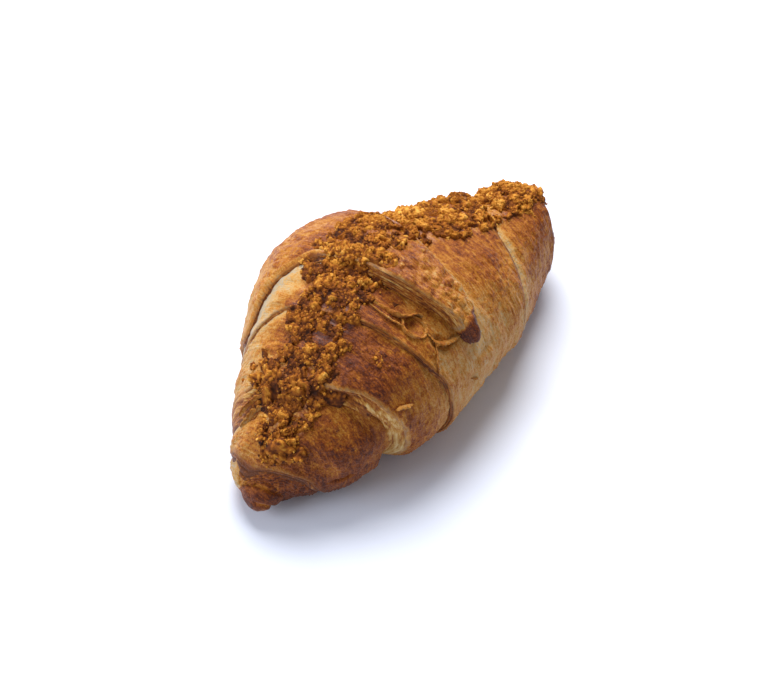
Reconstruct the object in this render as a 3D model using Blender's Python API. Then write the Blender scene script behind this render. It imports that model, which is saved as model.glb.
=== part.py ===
"""A straight butter croissant with a line of spiced crumble baked along its back.

The roll lies along X, its thicker half at -X, and rests on its flat underside at z = 0. Its front is -Y,
where the point of the dough triangle, the tongue, hangs down from the back. Angles round the roll are in
degrees: 0 at the front, 90 at the top, 180 at the back and 270 underneath. Everything is one solid: the
rolled dough, the tongue, the twisted tip at -X and the clumps of crumble are joined by one union.

Sizes are in millimetres, and become metres where the mesh gets its points.
"""

import math

import bmesh
import bpy
import numpy as np
from mathutils import Matrix

MM = 0.001
NAME = "croissant"

# The roll: sections along it, as share of the half length, half width, top, underside and sideways centre.
HALF_LENGTH = 70.0
SECTIONS = (
    (-1.00, 8.0, 20.0, 1.0, 2.5),
    (-0.85, 15.0, 30.0, 0.5, 2.0),
    (-0.60, 26.5, 43.0, 0.0, 3.0),
    (-0.30, 37.0, 53.0, -1.5, 5.0),
    (0.00, 40.0, 55.0, -2.0, 6.5),
    (0.30, 33.0, 48.0, -1.5, 3.0),
    (0.60, 23.0, 39.0, 0.0, 0.0),
    (0.85, 15.0, 33.5, 3.0, -0.5),
    (1.00, 9.0, 28.0, 6.0, -2.0),
)
TIP_FROM = 0.86  # share of the half length where the rounded end begins
AXIS_HEIGHT = 0.46  # height of the widest line, as a share of the section's height
RELIEF_AT_TIP = 1.6  # how late the relief dies away towards the two poles
TOP_ROUNDNESS = 0.92  # exponent of the upper half of a section, 1 being an ellipse
FOOT_ROUNDNESS = 0.8  # the same for the lower half, which the tray kept flatter

# The lips: where the edge of each turn of dough lies along X, and how thick it is, at these angles round the
# roll. A turn nearer the middle lies over the one further out.
ANGLES = (0.0, 45.0, 90.0, 112.0, 135.0, 150.0, 180.0, 270.0)
LIPS = (
    # side, where it lies, how thick
    (-1, (-38.5, -41.5, -50.0, -55.5, -61.0, -61.5, -60.0, -48.0), (6.0, 5.0, 4.0, 5.0, 5.0, 4.5, 3.5, 2.0)),
    (-1, (-12.5, -17.0, -25.0, -29.0, -33.5, -36.0, -38.5, -26.0), (2.0, 2.5, 2.5, 2.5, 2.5, 2.0, 2.0, 1.5)),
    (-1, (4.0, 1.5, -7.5, -11.5, -22.0, -31.0, -34.0, -20.0), (0.0, 0.0, 2.5, 4.0, 4.0, 3.5, 3.0, 1.5)),
    (1, (12.0, 11.5, 14.0, 15.5, 17.0, 18.0, 20.0, 20.0), (0.0, 0.0, 3.0, 4.5, 4.5, 4.5, 3.5, 1.5)),
    (1, (32.0, 38.5, 44.5, 47.5, 50.0, 51.0, 50.0, 40.0), (2.5, 2.0, 3.5, 5.0, 5.0, 4.5, 3.5, 1.5)),
)
LIP_WALL = 0.7  # half the run of the step at a lip
LIP_FADE = 11.0  # how far the swelling behind a lip and the dip in front of it reach
FOOT_FADE = (0.45, 0.85)  # how far down the side the lips start to fade and are gone, 1 being the underside
LIP_GAP = 2.6  # the least that two lips stay apart

# The tongue: from under the crumble to its tip, as angle, near edge, far edge along X and height.
TONGUE = (
    (104.0, -8.0, 16.0, 2.2),
    (84.0, -6.0, 14.0, 4.0),
    (66.0, -3.5, 11.5, 4.8),
    (48.0, 0.5, 11.5, 5.2),
    (36.0, 2.5, 11.0, 6.0),
    (26.0, 3.5, 9.0, 5.6),
)
TONGUE_ROOT = 3.0  # how deep its underside sinks into the roll
TONGUE_END = 0.8  # where its rounded tip begins, 1 being the tip itself
TONGUE_TIP_WIDTH = 0.45  # what is left of its width at the tip, as a share
TONGUE_EDGE_HEIGHT = 0.55  # the height of its edges against its middle
TONGUE_CELLS = (14, 6)  # along and across

# The twisted tip that sticks out of the -X end: centre, radii and slope.
KNOB_CENTRE = (-64.0, -3.5, 8.0)
KNOB_RADII = (12.0, 8.0, 7.0)
KNOB_DIP = math.radians(22)
KNOB_STEPS = (14, 9)

TRAY = (300.0, 200.0, 100.0)  # the block that cuts the underside flat

# The crumble: the band it lies in, as place along X, middle angle and half angle, and its largest clumps, as
# place along X, angle and radius. The smaller ones are spread evenly between them: each is the candidate that
# lies furthest from the rest.
BAND = (
    (-64.0, 70.0, 22.0),
    (-50.0, 98.0, 32.0),
    (-40.0, 90.0, 22.0),
    (-25.0, 96.0, 20.0),
    (-8.0, 95.0, 15.0),
    (4.0, 101.0, 18.0),
    (15.0, 104.0, 14.0),
    (28.0, 98.0, 17.0),
    (42.0, 98.0, 22.0),
    (55.0, 96.0, 28.0),
    (66.0, 84.0, 22.0),
)
CLUMPS = (
    (-60.0, 56.0, 4.6),
    (-54.0, 80.0, 4.4),
    (-50.0, 116.0, 4.6),
    (-47.0, 70.0, 3.4),
    (-35.0, 100.0, 4.2),
    (-30.0, 84.0, 4.0),
    (-22.0, 106.0, 4.4),
    (-14.0, 88.0, 4.6),
    (-2.0, 102.0, 5.0),
    (6.0, 112.0, 5.4),
    (12.0, 112.0, 4.6),
    (30.0, 100.0, 4.0),
    (40.0, 116.0, 4.6),
    (52.0, 106.0, 4.6),
    (60.0, 88.0, 5.0),
    (64.0, 72.0, 4.2),
)
CLUMP_RISE = 0.12  # how far a clump's middle stands above the crust, as a share of its radius
CLUMP_FLATTEN = 0.75  # its height against its width
CLUMP_CRAGS = 0.2  # how far a corner of it moves in or out, as a share
GRAIN_COUNT = 125
GRAIN_RADII = (1.6, 3.2)
CANDIDATES = 12
SEED = 11

# How finely the dough is cut: rings in each stretch between lips, and steps round the roll.
RINGS = (7, 7, 4, 7, 7, 7)
STEPS_ROUND = 50
RING_CROWDING = 0.85  # how strongly rings crowd at the lips, 0 being evenly spaced


def blend(start, end, share):
    """The value a share of the way from start to end."""
    return start + (end - start) * share


def smooth(at, values, x):
    """A cubic curve through the points (at, values), with each point's slope that of its neighbours."""
    at, values = np.asarray(at, float), np.asarray(values, float)
    slope = np.gradient(values, at)
    k = np.clip(np.searchsorted(at, x) - 1, 0, len(at) - 2)
    step = at[k + 1] - at[k]
    s = np.clip((x - at[k]) / step, 0, 1)
    start = (1 + 2 * s) * (1 - s) ** 2 * values[k] + s * (1 - s) ** 2 * step * slope[k]
    end = s * s * (3 - 2 * s) * values[k + 1] + s * s * (s - 1) * step * slope[k + 1]
    return start + end


def around(values, angle):
    """The same curve through values given at ANGLES, closed round the roll."""
    at = np.array(ANGLES)
    return smooth(
        np.concatenate([at[-2:] - 360, at, at[:2] + 360]),
        np.concatenate([values[-2:], values, values[:2]]),
        np.mod(angle, 360.0),
    )


def lip_places(angle):
    """Where the five lips lie along X at an angle, kept in order from -X to +X."""
    places = [around(where, angle) for _, where, _ in LIPS]
    places[2] = np.maximum(places[2], places[1] + LIP_GAP)
    return places


def lift(x, angle):
    """How far the crust stands out of the plain section: at each lip it steps up to the turn that lies over."""
    total = np.zeros(np.broadcast(x, angle).shape)
    for (side, _, heights), place in zip(LIPS, lip_places(angle)):
        out = side * (x - place)
        half = 0.5 * np.maximum(around(heights, angle), 0)
        total -= half * np.tanh(out / LIP_WALL) * np.exp(-np.abs(out) / LIP_FADE)
    return total * under_fade(angle)


def under_fade(angle):
    """1 over the top and sides, falling to 0 underneath, where the tray pressed the turns flat."""
    start, end = FOOT_FADE
    depth = np.clip((-np.sin(np.radians(angle)) - start) / (end - start), 0, 1)
    return 1 - depth * depth * (3 - 2 * depth)


def crust(x, angle, height=0.0):
    """The point of the crust at a place along X and an angle, raised by height, as an array of (x, y, z)."""
    share = np.clip(x / HALF_LENGTH, -1, 1)
    table = np.array(SECTIONS).T
    width, top, foot, centre = (smooth(table[0], row, share) for row in table[1:])
    inside = np.clip((np.abs(share) - TIP_FROM) / (1 - TIP_FROM), 0, 1)
    cap = np.sqrt(1 - inside**2)
    axis = foot + AXIS_HEIGHT * (top - foot)
    turn = np.radians(angle)
    across = np.sign(np.cos(turn)) * np.abs(np.cos(turn)) ** TOP_ROUNDNESS
    rise = np.abs(np.sin(turn))
    raised = (lift(x, angle) + height) * np.clip(cap * RELIEF_AT_TIP, 0, 1)
    upper = axis + ((top - axis) * cap + raised) * rise**TOP_ROUNDNESS
    lower = axis - ((axis - foot) * cap + raised) * rise**FOOT_ROUNDNESS
    return np.stack(
        np.broadcast_arrays(
            x,
            centre - (width * cap + raised) * across,
            np.where(np.sin(turn) >= 0, upper, lower),
        ),
        -1,
    )


def ring_places(angle):
    """Where the rings of the dough's mesh lie along X at an angle, crowded at the lips and the ends."""
    knots = [np.full_like(angle, -HALF_LENGTH), *lip_places(angle), np.full_like(angle, HALF_LENGTH)]
    places = [knots[0]]
    for start, end, count in zip(knots, knots[1:], RINGS):
        for n in range(1, count + 1):
            s = n / count
            s -= RING_CROWDING * math.sin(2 * math.pi * s) / (2 * math.pi)
            places.append(blend(start, end, s))
    return np.array(places)


def new_object(name, bm, collection):
    """An object made from a bmesh, in a collection."""
    mesh = bpy.data.meshes.new(name)
    bm.to_mesh(mesh)
    bm.free()
    made = bpy.data.objects.new(name, mesh)
    collection.objects.link(made)
    return made


def rolled_dough(collection):
    """The roll: a sphere with its poles at the two ends, whose rings are set on the lips and between them."""
    rings = sum(RINGS)
    bm = bmesh.new()
    bmesh.ops.create_uvsphere(bm, u_segments=STEPS_ROUND, v_segments=rings, radius=1.0)
    points = np.array([v.co for v in bm.verts])
    ring = np.rint(np.arccos(np.clip(-points[:, 2], -1, 1)) / math.pi * rings).astype(int)
    angle = np.degrees(np.arctan2(points[:, 1], points[:, 0])) % 360
    places = ring_places(angle)[ring, np.arange(len(angle))]
    for vert, co in zip(bm.verts, crust(places, angle) * MM):
        vert.co = co
    bmesh.ops.recalc_face_normals(bm, faces=bm.faces)
    return new_object(NAME, bm, collection)


def tongue(collection):
    """The point of the dough triangle: a block of cells bent over the roll, its edges and tip rounded."""
    along, across = TONGUE_CELLS
    bm = bmesh.new()
    bmesh.ops.create_grid(bm, x_segments=along, y_segments=across, size=1.0)
    bmesh.ops.solidify(bm, geom=bm.faces[:], thickness=1.0)
    table = np.array(TONGUE).T
    for vert in bm.verts:
        a, b, over = vert.co.x, vert.co.y, abs(vert.co.z) > 0.5
        angle = blend(table[0][0], table[0][-1], (a + 1) / 2)
        near, far, height = (float(smooth(-table[0], row, -angle)) for row in table[1:])
        rounded = math.sqrt(max(0.0, 1 - max(0.0, (a - TONGUE_END) / (1 - TONGUE_END)) ** 2))
        flat = (1 - abs(b) ** 6) ** (1 / 6) * rounded
        x = (near + far) / 2 + (far - near) / 2 * b * blend(TONGUE_TIP_WIDTH, 1.0, rounded)
        level = height * blend(TONGUE_EDGE_HEIGHT, 1.0, flat) if over else -TONGUE_ROOT
        vert.co = crust(np.array(x), np.array(angle), level) * MM
    bmesh.ops.recalc_face_normals(bm, faces=bm.faces)
    return new_object("tongue", bm, collection)


def knob(collection):
    """The twisted tip of the dough, a small rounded end that dips to the tray."""
    bm = bmesh.new()
    bmesh.ops.create_uvsphere(bm, u_segments=KNOB_STEPS[0], v_segments=KNOB_STEPS[1], radius=1.0)
    shape = Matrix.Translation([c * MM for c in KNOB_CENTRE]) @ Matrix.Rotation(-KNOB_DIP, 4, "Y")
    bm.transform(shape @ Matrix.Diagonal([r * MM for r in KNOB_RADII] + [1.0]))
    return new_object("knob", bm, collection)


def clump(name, x, angle, radius, subdivisions, rng, collection):
    """One piece of crumble: a craggy lump, part sunk in the crust."""
    bm = bmesh.new()
    bmesh.ops.create_icosphere(bm, subdivisions=subdivisions, radius=1.0)
    crags = 1 + CLUMP_CRAGS * rng.uniform(-1, 1, len(bm.verts))
    for vert, factor in zip(bm.verts, crags):
        vert.co *= factor
    place = crust(np.array(x), np.array(angle), radius * CLUMP_RISE)
    turned = Matrix.Rotation(math.radians(angle - 90), 4, "X") @ Matrix.Rotation(rng.uniform(0, 6.28), 4, "Z")
    stretch = rng.uniform(0.85, 1.2)
    size = Matrix.Diagonal([radius * MM * stretch, radius * MM / stretch, radius * MM * CLUMP_FLATTEN, 1.0])
    bm.transform(Matrix.Translation(place * MM) @ turned @ size)
    return new_object(name, bm, collection)


def spread_evenly(taken, count, rng):
    """More places (x, angle) in the band, each the one of its candidates that lies furthest from those taken."""
    band = np.array(BAND).T
    places = [tuple(place) for place in taken]
    while len(places) < len(taken) + count:
        x = rng.uniform(band[0][0], band[0][-1], CANDIDATES)
        middle, half = (smooth(band[0], row, x) for row in band[1:])
        angle = middle + half * rng.uniform(-1, 1, CANDIDATES)
        here, others = crust(x, angle), crust(*np.array(places).T)
        clear = np.linalg.norm(here[:, None] - others[None], axis=2).min(1)
        best = int(np.argmax(clear))
        places.append((float(x[best]), float(angle[best])))
    return places[len(taken):]


def crumble(collection):
    """All the crumble: the largest clumps where they lie, then smaller ones spread over the band."""
    rng = np.random.default_rng(SEED)
    for n, (x, angle, radius) in enumerate(CLUMPS):
        clump(f"clump_{n}", x, angle, radius, 2, rng, collection)
    small, large = GRAIN_RADII
    for n, (x, angle) in enumerate(spread_evenly([c[:2] for c in CLUMPS], GRAIN_COUNT, rng)):
        radius = blend(small, large, rng.random() ** 2)
        clump(f"grain_{n}", x, angle, radius, 1, rng, collection)


def largest_shell(mesh):
    """Keeps the mesh's largest connected shell, which drops loose scraps and fills sealed hollows."""
    bm = bmesh.new()
    bm.from_mesh(mesh)
    left, shells = set(bm.verts), []
    while left:
        found, edge = set(), [left.pop()]
        while edge:
            vert = edge.pop()
            found.add(vert)
            beside = {e.other_vert(vert) for e in vert.link_edges} & left
            left -= beside
            edge.extend(beside)
        shells.append(found)
    keep = max(shells, key=len)
    bmesh.ops.delete(bm, geom=[v for v in bm.verts if v not in keep], context="VERTS")
    bm.to_mesh(mesh)
    bm.free()


def joined(body, collection):
    """The body with everything in the collection joined to it, and the collection's objects removed."""
    union = body.modifiers.new("joined", "BOOLEAN")
    union.operation = "UNION"
    union.operand_type = "COLLECTION"
    union.collection = collection
    union.solver = "EXACT"
    graph = bpy.context.evaluated_depsgraph_get()
    mesh = bpy.data.meshes.new_from_object(body.evaluated_get(graph))
    largest_shell(mesh)
    body.modifiers.clear()
    body.data = mesh
    for piece in list(collection.objects):
        bpy.data.objects.remove(piece)
    bpy.data.collections.remove(collection)


def centred(body):
    """Moves the body's points so that its box stands on the origin in X and Y."""
    points = np.array([v.co for v in body.data.vertices])
    middle = (points.min(0) + points.max(0)) / 2
    body.data.transform(Matrix.Translation((-middle[0], -middle[1], 0)))


def stand_flat(body, collection):
    """Cuts the underside off at z = 0, the flat foot that the tray left."""
    bm = bmesh.new()
    bmesh.ops.create_cube(bm, size=1.0)
    size = [s * MM for s in TRAY]
    bm.transform(Matrix.Translation((0, 0, -size[2] / 2)) @ Matrix.Diagonal(size + [1.0]))
    tray = new_object("tray", bm, collection)
    tray.hide_render = True
    tray.display_type = "WIRE"
    cut = body.modifiers.new("flat_foot", "BOOLEAN")
    cut.operation = "DIFFERENCE"
    cut.object = tray


def baked_crust():
    """Browned, egg-washed pastry."""
    material = bpy.data.materials.new("baked_crust")
    material.use_nodes = True
    shader = material.node_tree.nodes["Principled BSDF"]
    shader.inputs["Base Color"].default_value = (0.42, 0.17, 0.05, 1.0)
    shader.inputs["Roughness"].default_value = 0.5
    shader.inputs["Metallic"].default_value = 0.0
    return material


def main():
    for leftover in list(bpy.data.objects):
        bpy.data.objects.remove(leftover)
    parts, toppings, cutters = (bpy.data.collections.new(n) for n in (NAME, "to_join", "cutters"))
    for collection in (parts, toppings, cutters):
        bpy.context.scene.collection.children.link(collection)
    body = rolled_dough(parts)
    tongue(toppings)
    knob(toppings)
    crumble(toppings)
    joined(body, toppings)
    centred(body)
    stand_flat(body, cutters)
    body.data.materials.clear()
    body.data.materials.append(baked_crust())


main()
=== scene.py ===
"""The looks of a baked butter croissant with a line of spiced crumble along its back.

Lengths are in millimetres until a mesh gets its points. The roll lies along X with its thicker half at -X,
and its front, where the tongue of the dough triangle hangs down, at -Y. Angles round the roll are in degrees:
0 at the front, 90 at the top, 180 at the back, 270 underneath. Each turn of dough is its own closed shell,
whose edge, the lip, lies over the turn below it.
"""

from __future__ import annotations

import functools
import itertools
import logging
import math
import sys
from dataclasses import dataclass
from enum import Enum

import bmesh
import bpy
import numpy as np
from mathutils import Matrix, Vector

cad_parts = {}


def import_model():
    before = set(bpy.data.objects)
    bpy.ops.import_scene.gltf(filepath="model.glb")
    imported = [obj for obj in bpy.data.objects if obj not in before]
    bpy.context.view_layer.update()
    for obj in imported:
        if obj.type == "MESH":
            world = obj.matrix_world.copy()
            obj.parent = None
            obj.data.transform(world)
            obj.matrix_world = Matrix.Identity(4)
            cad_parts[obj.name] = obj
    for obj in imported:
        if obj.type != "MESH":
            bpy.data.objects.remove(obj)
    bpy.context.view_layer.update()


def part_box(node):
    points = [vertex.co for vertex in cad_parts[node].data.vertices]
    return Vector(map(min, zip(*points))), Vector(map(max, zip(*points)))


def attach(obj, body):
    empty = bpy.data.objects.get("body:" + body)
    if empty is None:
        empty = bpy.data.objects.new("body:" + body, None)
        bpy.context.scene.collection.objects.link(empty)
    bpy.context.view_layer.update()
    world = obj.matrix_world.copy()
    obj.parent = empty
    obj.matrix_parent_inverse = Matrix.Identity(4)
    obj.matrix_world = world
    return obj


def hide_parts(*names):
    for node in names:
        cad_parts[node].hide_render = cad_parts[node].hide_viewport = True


MM = 0.001
NODE = "croissant"
BODY = "root"
# how far every point stays above the floor
CLEARANCE = 0.02
# the palest and darkest that a cut wall bakes
WALL_BAKE = (-0.3, 0.8)
LOG = logging.getLogger(NODE)

Array = np.ndarray


# ---------------------------------------------------------------- curves and noise


def blend(start: Array | float, end: Array | float, share: Array | float) -> Array:
    """Returns the value a share of the way from start to end."""
    return start + (end - start) * share


def ramp(value: Array, start: float, end: float) -> Array:
    """Returns 0 below start, 1 above end and a smooth S between them, as 3 s^2 - 2 s^3."""
    share = np.clip((value - start) / (end - start), 0, 1)
    return share * share * (3 - 2 * share)


def smooth(at: Array, values: Array, x: Array) -> Array:
    """Runs a cubic curve through points, with each point's slope that of its neighbours.

    Args:
        at: where the points lie, rising.
        values: the value at each point.
        x: where the curve is wanted.

    Returns:
        The curve's values at x.
    """
    at, values, x = np.asarray(at, float), np.asarray(values, float), np.asarray(x, float)
    slope = np.gradient(values, at)
    k = np.clip(np.searchsorted(at, x) - 1, 0, len(at) - 2)
    step = at[k + 1] - at[k]
    s = np.clip((x - at[k]) / step, 0, 1)
    start = (1 + 2 * s) * (1 - s) ** 2 * values[k] + s * (1 - s) ** 2 * step * slope[k]
    end = s * s * (3 - 2 * s) * values[k + 1] + s * s * (s - 1) * step * slope[k + 1]
    return start + end


def curves(stations: tuple[tuple[float, ...], ...], x: Array) -> list[Array]:
    """Returns the smooth curve through each column of a table, whose first column is the rising place."""
    at, *columns = np.array(stations).T
    return [smooth(at, column, x) for column in columns]


def normalised(vectors: Array) -> Array:
    """Returns vectors (..., 3) scaled to length 1."""
    return vectors / np.maximum(np.linalg.norm(vectors, axis=-1, keepdims=True), 1e-9)


def hashed(cell: Array, seed: int) -> Array:
    """Returns a number from 0 to 4095 for each integer cell (..., 3): its coordinates times large primes."""
    mixed = cell[..., 0] * 73856093 ^ cell[..., 1] * 19349663 ^ cell[..., 2] * 83492791 ^ seed * 2654435761
    mixed = (mixed ^ (mixed >> 13)) * 1274126177
    return (mixed ^ (mixed >> 16)) & 4095


def directions(seed: int) -> Array:
    """Returns 4096 unit vectors spread at random."""
    return normalised(np.random.default_rng(seed).normal(size=(4096, 3)))


GRADIENTS = directions(5)
JITTER = np.random.default_rng(6).random((4096, 3))


def noise(points: Array, size: float, seed: int = 0) -> Array:
    """Gradient noise: each corner of a cubic cell pulls along its own direction, faded between corners.

    Args:
        points: (..., 3) positions.
        size: the edge of a cell, about the width of one swelling.
        seed: picks another pattern.

    Returns:
        Values from about -1 to 1, one for each point.
    """
    place = points / size
    cell = np.floor(place).astype(np.int64)
    inside = place - cell
    fade = inside**3 * (inside * (inside * 6 - 15) + 10)
    total = np.zeros(place.shape[:-1])
    for corner in itertools.product((0, 1), repeat=3):
        corner = np.array(corner)
        weight = np.where(corner == 1, fade, 1 - fade).prod(-1)
        total += weight * (GRADIENTS[hashed(cell + corner, seed)] * (inside - corner)).sum(-1)
    return total * 1.7


def turbulence(points: Array, size: float, seed: int, octaves: int = 3) -> Array:
    """Returns noise summed over octaves, each half as large and half as strong as the one before."""
    layers = (noise(points, size / 2**n, seed + n) / 2**n for n in range(octaves))
    return sum(layers) / (2 - 0.5 ** (octaves - 1))


def wrapped_noise(wrap: Array, size: tuple[float, float], seed: int) -> Array:
    """Returns noise stretched round the roll: one size along X and in depth, the other round the roll."""
    across, along = size
    return noise(wrap / (across, along, across), 1.0, seed)


def cells(points: Array, size: float, seed: int) -> tuple[Array, Array]:
    """Cell noise: the distance to the nearest of the scattered centres, one in each cubic cell.

    Args:
        points: (..., 3) positions.
        size: the edge of a cell.
        seed: picks another pattern.

    Returns:
        The distance as a share of the size, and a random number from 0 to 1 that belongs to the centre.
    """
    place = points / size
    cell = np.floor(place).astype(np.int64)
    nearest = np.full(place.shape[:-1], 9.0)
    owner = np.zeros(place.shape[:-1])
    for step in itertools.product((-1, 0, 1), repeat=3):
        other = cell + np.array(step)
        key = hashed(other, seed)
        distance = np.linalg.norm(other + JITTER[key] - place, axis=-1)
        closer = distance < nearest
        nearest = np.where(closer, distance, nearest)
        owner = np.where(closer, JITTER[key, 0], owner)
    return nearest, owner


def caps(points: Array, size: float, seed: int) -> Array:
    """Returns the tops of packed grains: a dome of radius 0.45 to 0.75 of a cell round each centre."""
    nearest, owner = cells(points, size, seed)
    return np.sqrt(np.clip(1 - (nearest / blend(0.45, 0.75, owner)) ** 2, 0, 1)) * blend(0.6, 1.0, owner)


# ---------------------------------------------------------------- meshes


def add_mesh(
    name: str, points: Array, faces: list[Array], marks: dict[str, Array], rounded: bool = True
) -> bpy.types.Object:
    """Makes an object from whole arrays.

    Args:
        name: the piece's name.
        points: (N, 3) positions in millimetres.
        faces: arrays of vertex numbers, (F, 3) or (F, 4), pointing outwards.
        marks: attribute name to one number, or one vector of three, for each point.
        rounded: whether it is shaded smooth.

    Returns:
        The linked object.
    """
    mesh = bpy.data.meshes.new(name)
    corners = np.concatenate([f.ravel() for f in faces]).astype(np.int32)
    sizes = np.concatenate([np.full(len(f), f.shape[1]) for f in faces]).astype(np.int32)
    starts = np.concatenate([[0], np.cumsum(sizes)[:-1]]).astype(np.int32)
    mesh.vertices.add(len(points))
    mesh.vertices.foreach_set("co", (points * MM).astype(np.float32).ravel())
    mesh.loops.add(len(corners))
    mesh.loops.foreach_set("vertex_index", corners)
    mesh.polygons.add(len(sizes))
    mesh.polygons.foreach_set("loop_start", starts)
    mesh.polygons.foreach_set("loop_total", sizes)
    mesh.polygons.foreach_set("use_smooth", np.full(len(sizes), rounded))
    mesh.update(calc_edges=True)
    for mark, values in marks.items():
        vector = values.ndim == 2
        layer = mesh.attributes.new(mark, "FLOAT_VECTOR" if vector else "FLOAT", "POINT")
        layer.data.foreach_set("vector" if vector else "value", values.astype(np.float32).ravel())
    made = bpy.data.objects.new(name, mesh)
    bpy.context.scene.collection.objects.link(made)
    return made


def closed_loft(name: str, rings: Array, marks: dict[str, Array]) -> bpy.types.Object:
    """Skins closed rings one after the other and closes both ends with a fan to the ring's middle.

    Args:
        name: the piece's name.
        rings: (R, S, 3) positions, S points round each of R rings.
        marks: attribute name to (R, S) numbers or (R, S, 3) vectors.

    Returns:
        The closed object, its faces outwards.
    """
    count, steps = rings.shape[:2]
    number = np.arange(count * steps).reshape(count, steps)
    beside = np.roll(number, -1, axis=1)
    quads = np.stack([number[:-1], beside[:-1], beside[1:], number[1:]], -1).reshape(-1, 4)
    first, last = count * steps, count * steps + 1
    start = np.stack([beside[0], number[0], np.full(steps, first)], -1)
    end = np.stack([number[-1], beside[-1], np.full(steps, last)], -1)
    points = np.concatenate([rings.reshape(-1, 3), rings[0].mean(0)[None], rings[-1].mean(0)[None]])
    a, b, c, d = (points[quads[:, k]] for k in range(4))
    volume = np.einsum("ij,ij->i", a, np.cross(b, c) + np.cross(c, d)).sum()
    if volume < 0:
        quads, start, end = quads[:, ::-1], start[:, ::-1], end[:, ::-1]
    whole = {}
    for mark, values in marks.items():
        flat = values.reshape((count * steps,) + values.shape[2:])
        whole[mark] = np.concatenate([flat, values[0].mean(0)[None], values[-1].mean(0)[None]])
    return add_mesh(name, points, [quads, start, end], whole)


def push_out(rings: Array, relief: Array) -> Array:
    """Moves the points of closed rings along the surface's normal, the cross product of its two slopes."""
    along = np.gradient(rings, axis=0)
    wrapped = np.concatenate([rings[:, -1:], rings, rings[:, :1]], axis=1)
    around = (wrapped[:, 2:] - wrapped[:, :-2]) / 2
    normal = normalised(np.cross(along, around))
    middle = rings.mean(1, keepdims=True)
    outward = np.sign((normal * (rings - middle)).sum())
    return rings + normal * outward * relief[..., None]


def above_floor(points: Array) -> Array:
    """Returns points, those under the floor lifted to just above it."""
    return np.stack([points[..., 0], points[..., 1], np.maximum(points[..., 2], CLEARANCE)], -1)


# ---------------------------------------------------------------- finishes


def linear(hex_colour: str) -> tuple[float, float, float, float]:
    """Turns an sRGB hex colour such as #c08040 into linear red, green, blue and alpha."""
    parts = [int(hex_colour[i : i + 2], 16) / 255 for i in (1, 3, 5)]
    parts = [c / 12.92 if c <= 0.04045 else ((c + 0.055) / 1.055) ** 2.4 for c in parts]
    return (*parts, 1.0)


def feed(tree: bpy.types.NodeTree, node: bpy.types.Node, links: dict) -> None:
    """Links each named input of a node to the socket that feeds it, or sets its value."""
    for key, value in links.items():
        if isinstance(value, bpy.types.NodeSocket):
            tree.links.new(value, node.inputs[key])
        else:
            node.inputs[key].default_value = value


def add_node(tree: bpy.types.NodeTree, kind: str, links: dict | None = None, **settings) -> bpy.types.Node:
    """Adds a shader node.

    Args:
        tree: the material's node tree.
        kind: the node's type name, such as ShaderNodeMath.
        links: input name or number to the socket that feeds it, or to its value.
        **settings: the node's own properties.

    Returns:
        The node.
    """
    made = tree.nodes.new(kind)
    for name, value in settings.items():
        setattr(made, name, value)
    feed(tree, made, links or {})
    return made


def set_ramp(made: bpy.types.Node, stops: tuple[tuple[float, str], ...]) -> bpy.types.Node:
    """Gives a colour ramp its stops, as place and hex colour."""
    elements = made.color_ramp.elements
    while len(elements) < len(stops):
        elements.new(0.5)
    for element, (place, colour) in zip(elements, stops):
        element.position = place
        element.color = linear(colour)
    return made


def new_material(name: str) -> tuple[bpy.types.Material, bpy.types.NodeTree, bpy.types.Node]:
    """Returns a material with nodes, its tree and its Principled shader."""
    material = bpy.data.materials.new(name)
    material.use_nodes = True
    return material, material.node_tree, material.node_tree.nodes["Principled BSDF"]


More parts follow.
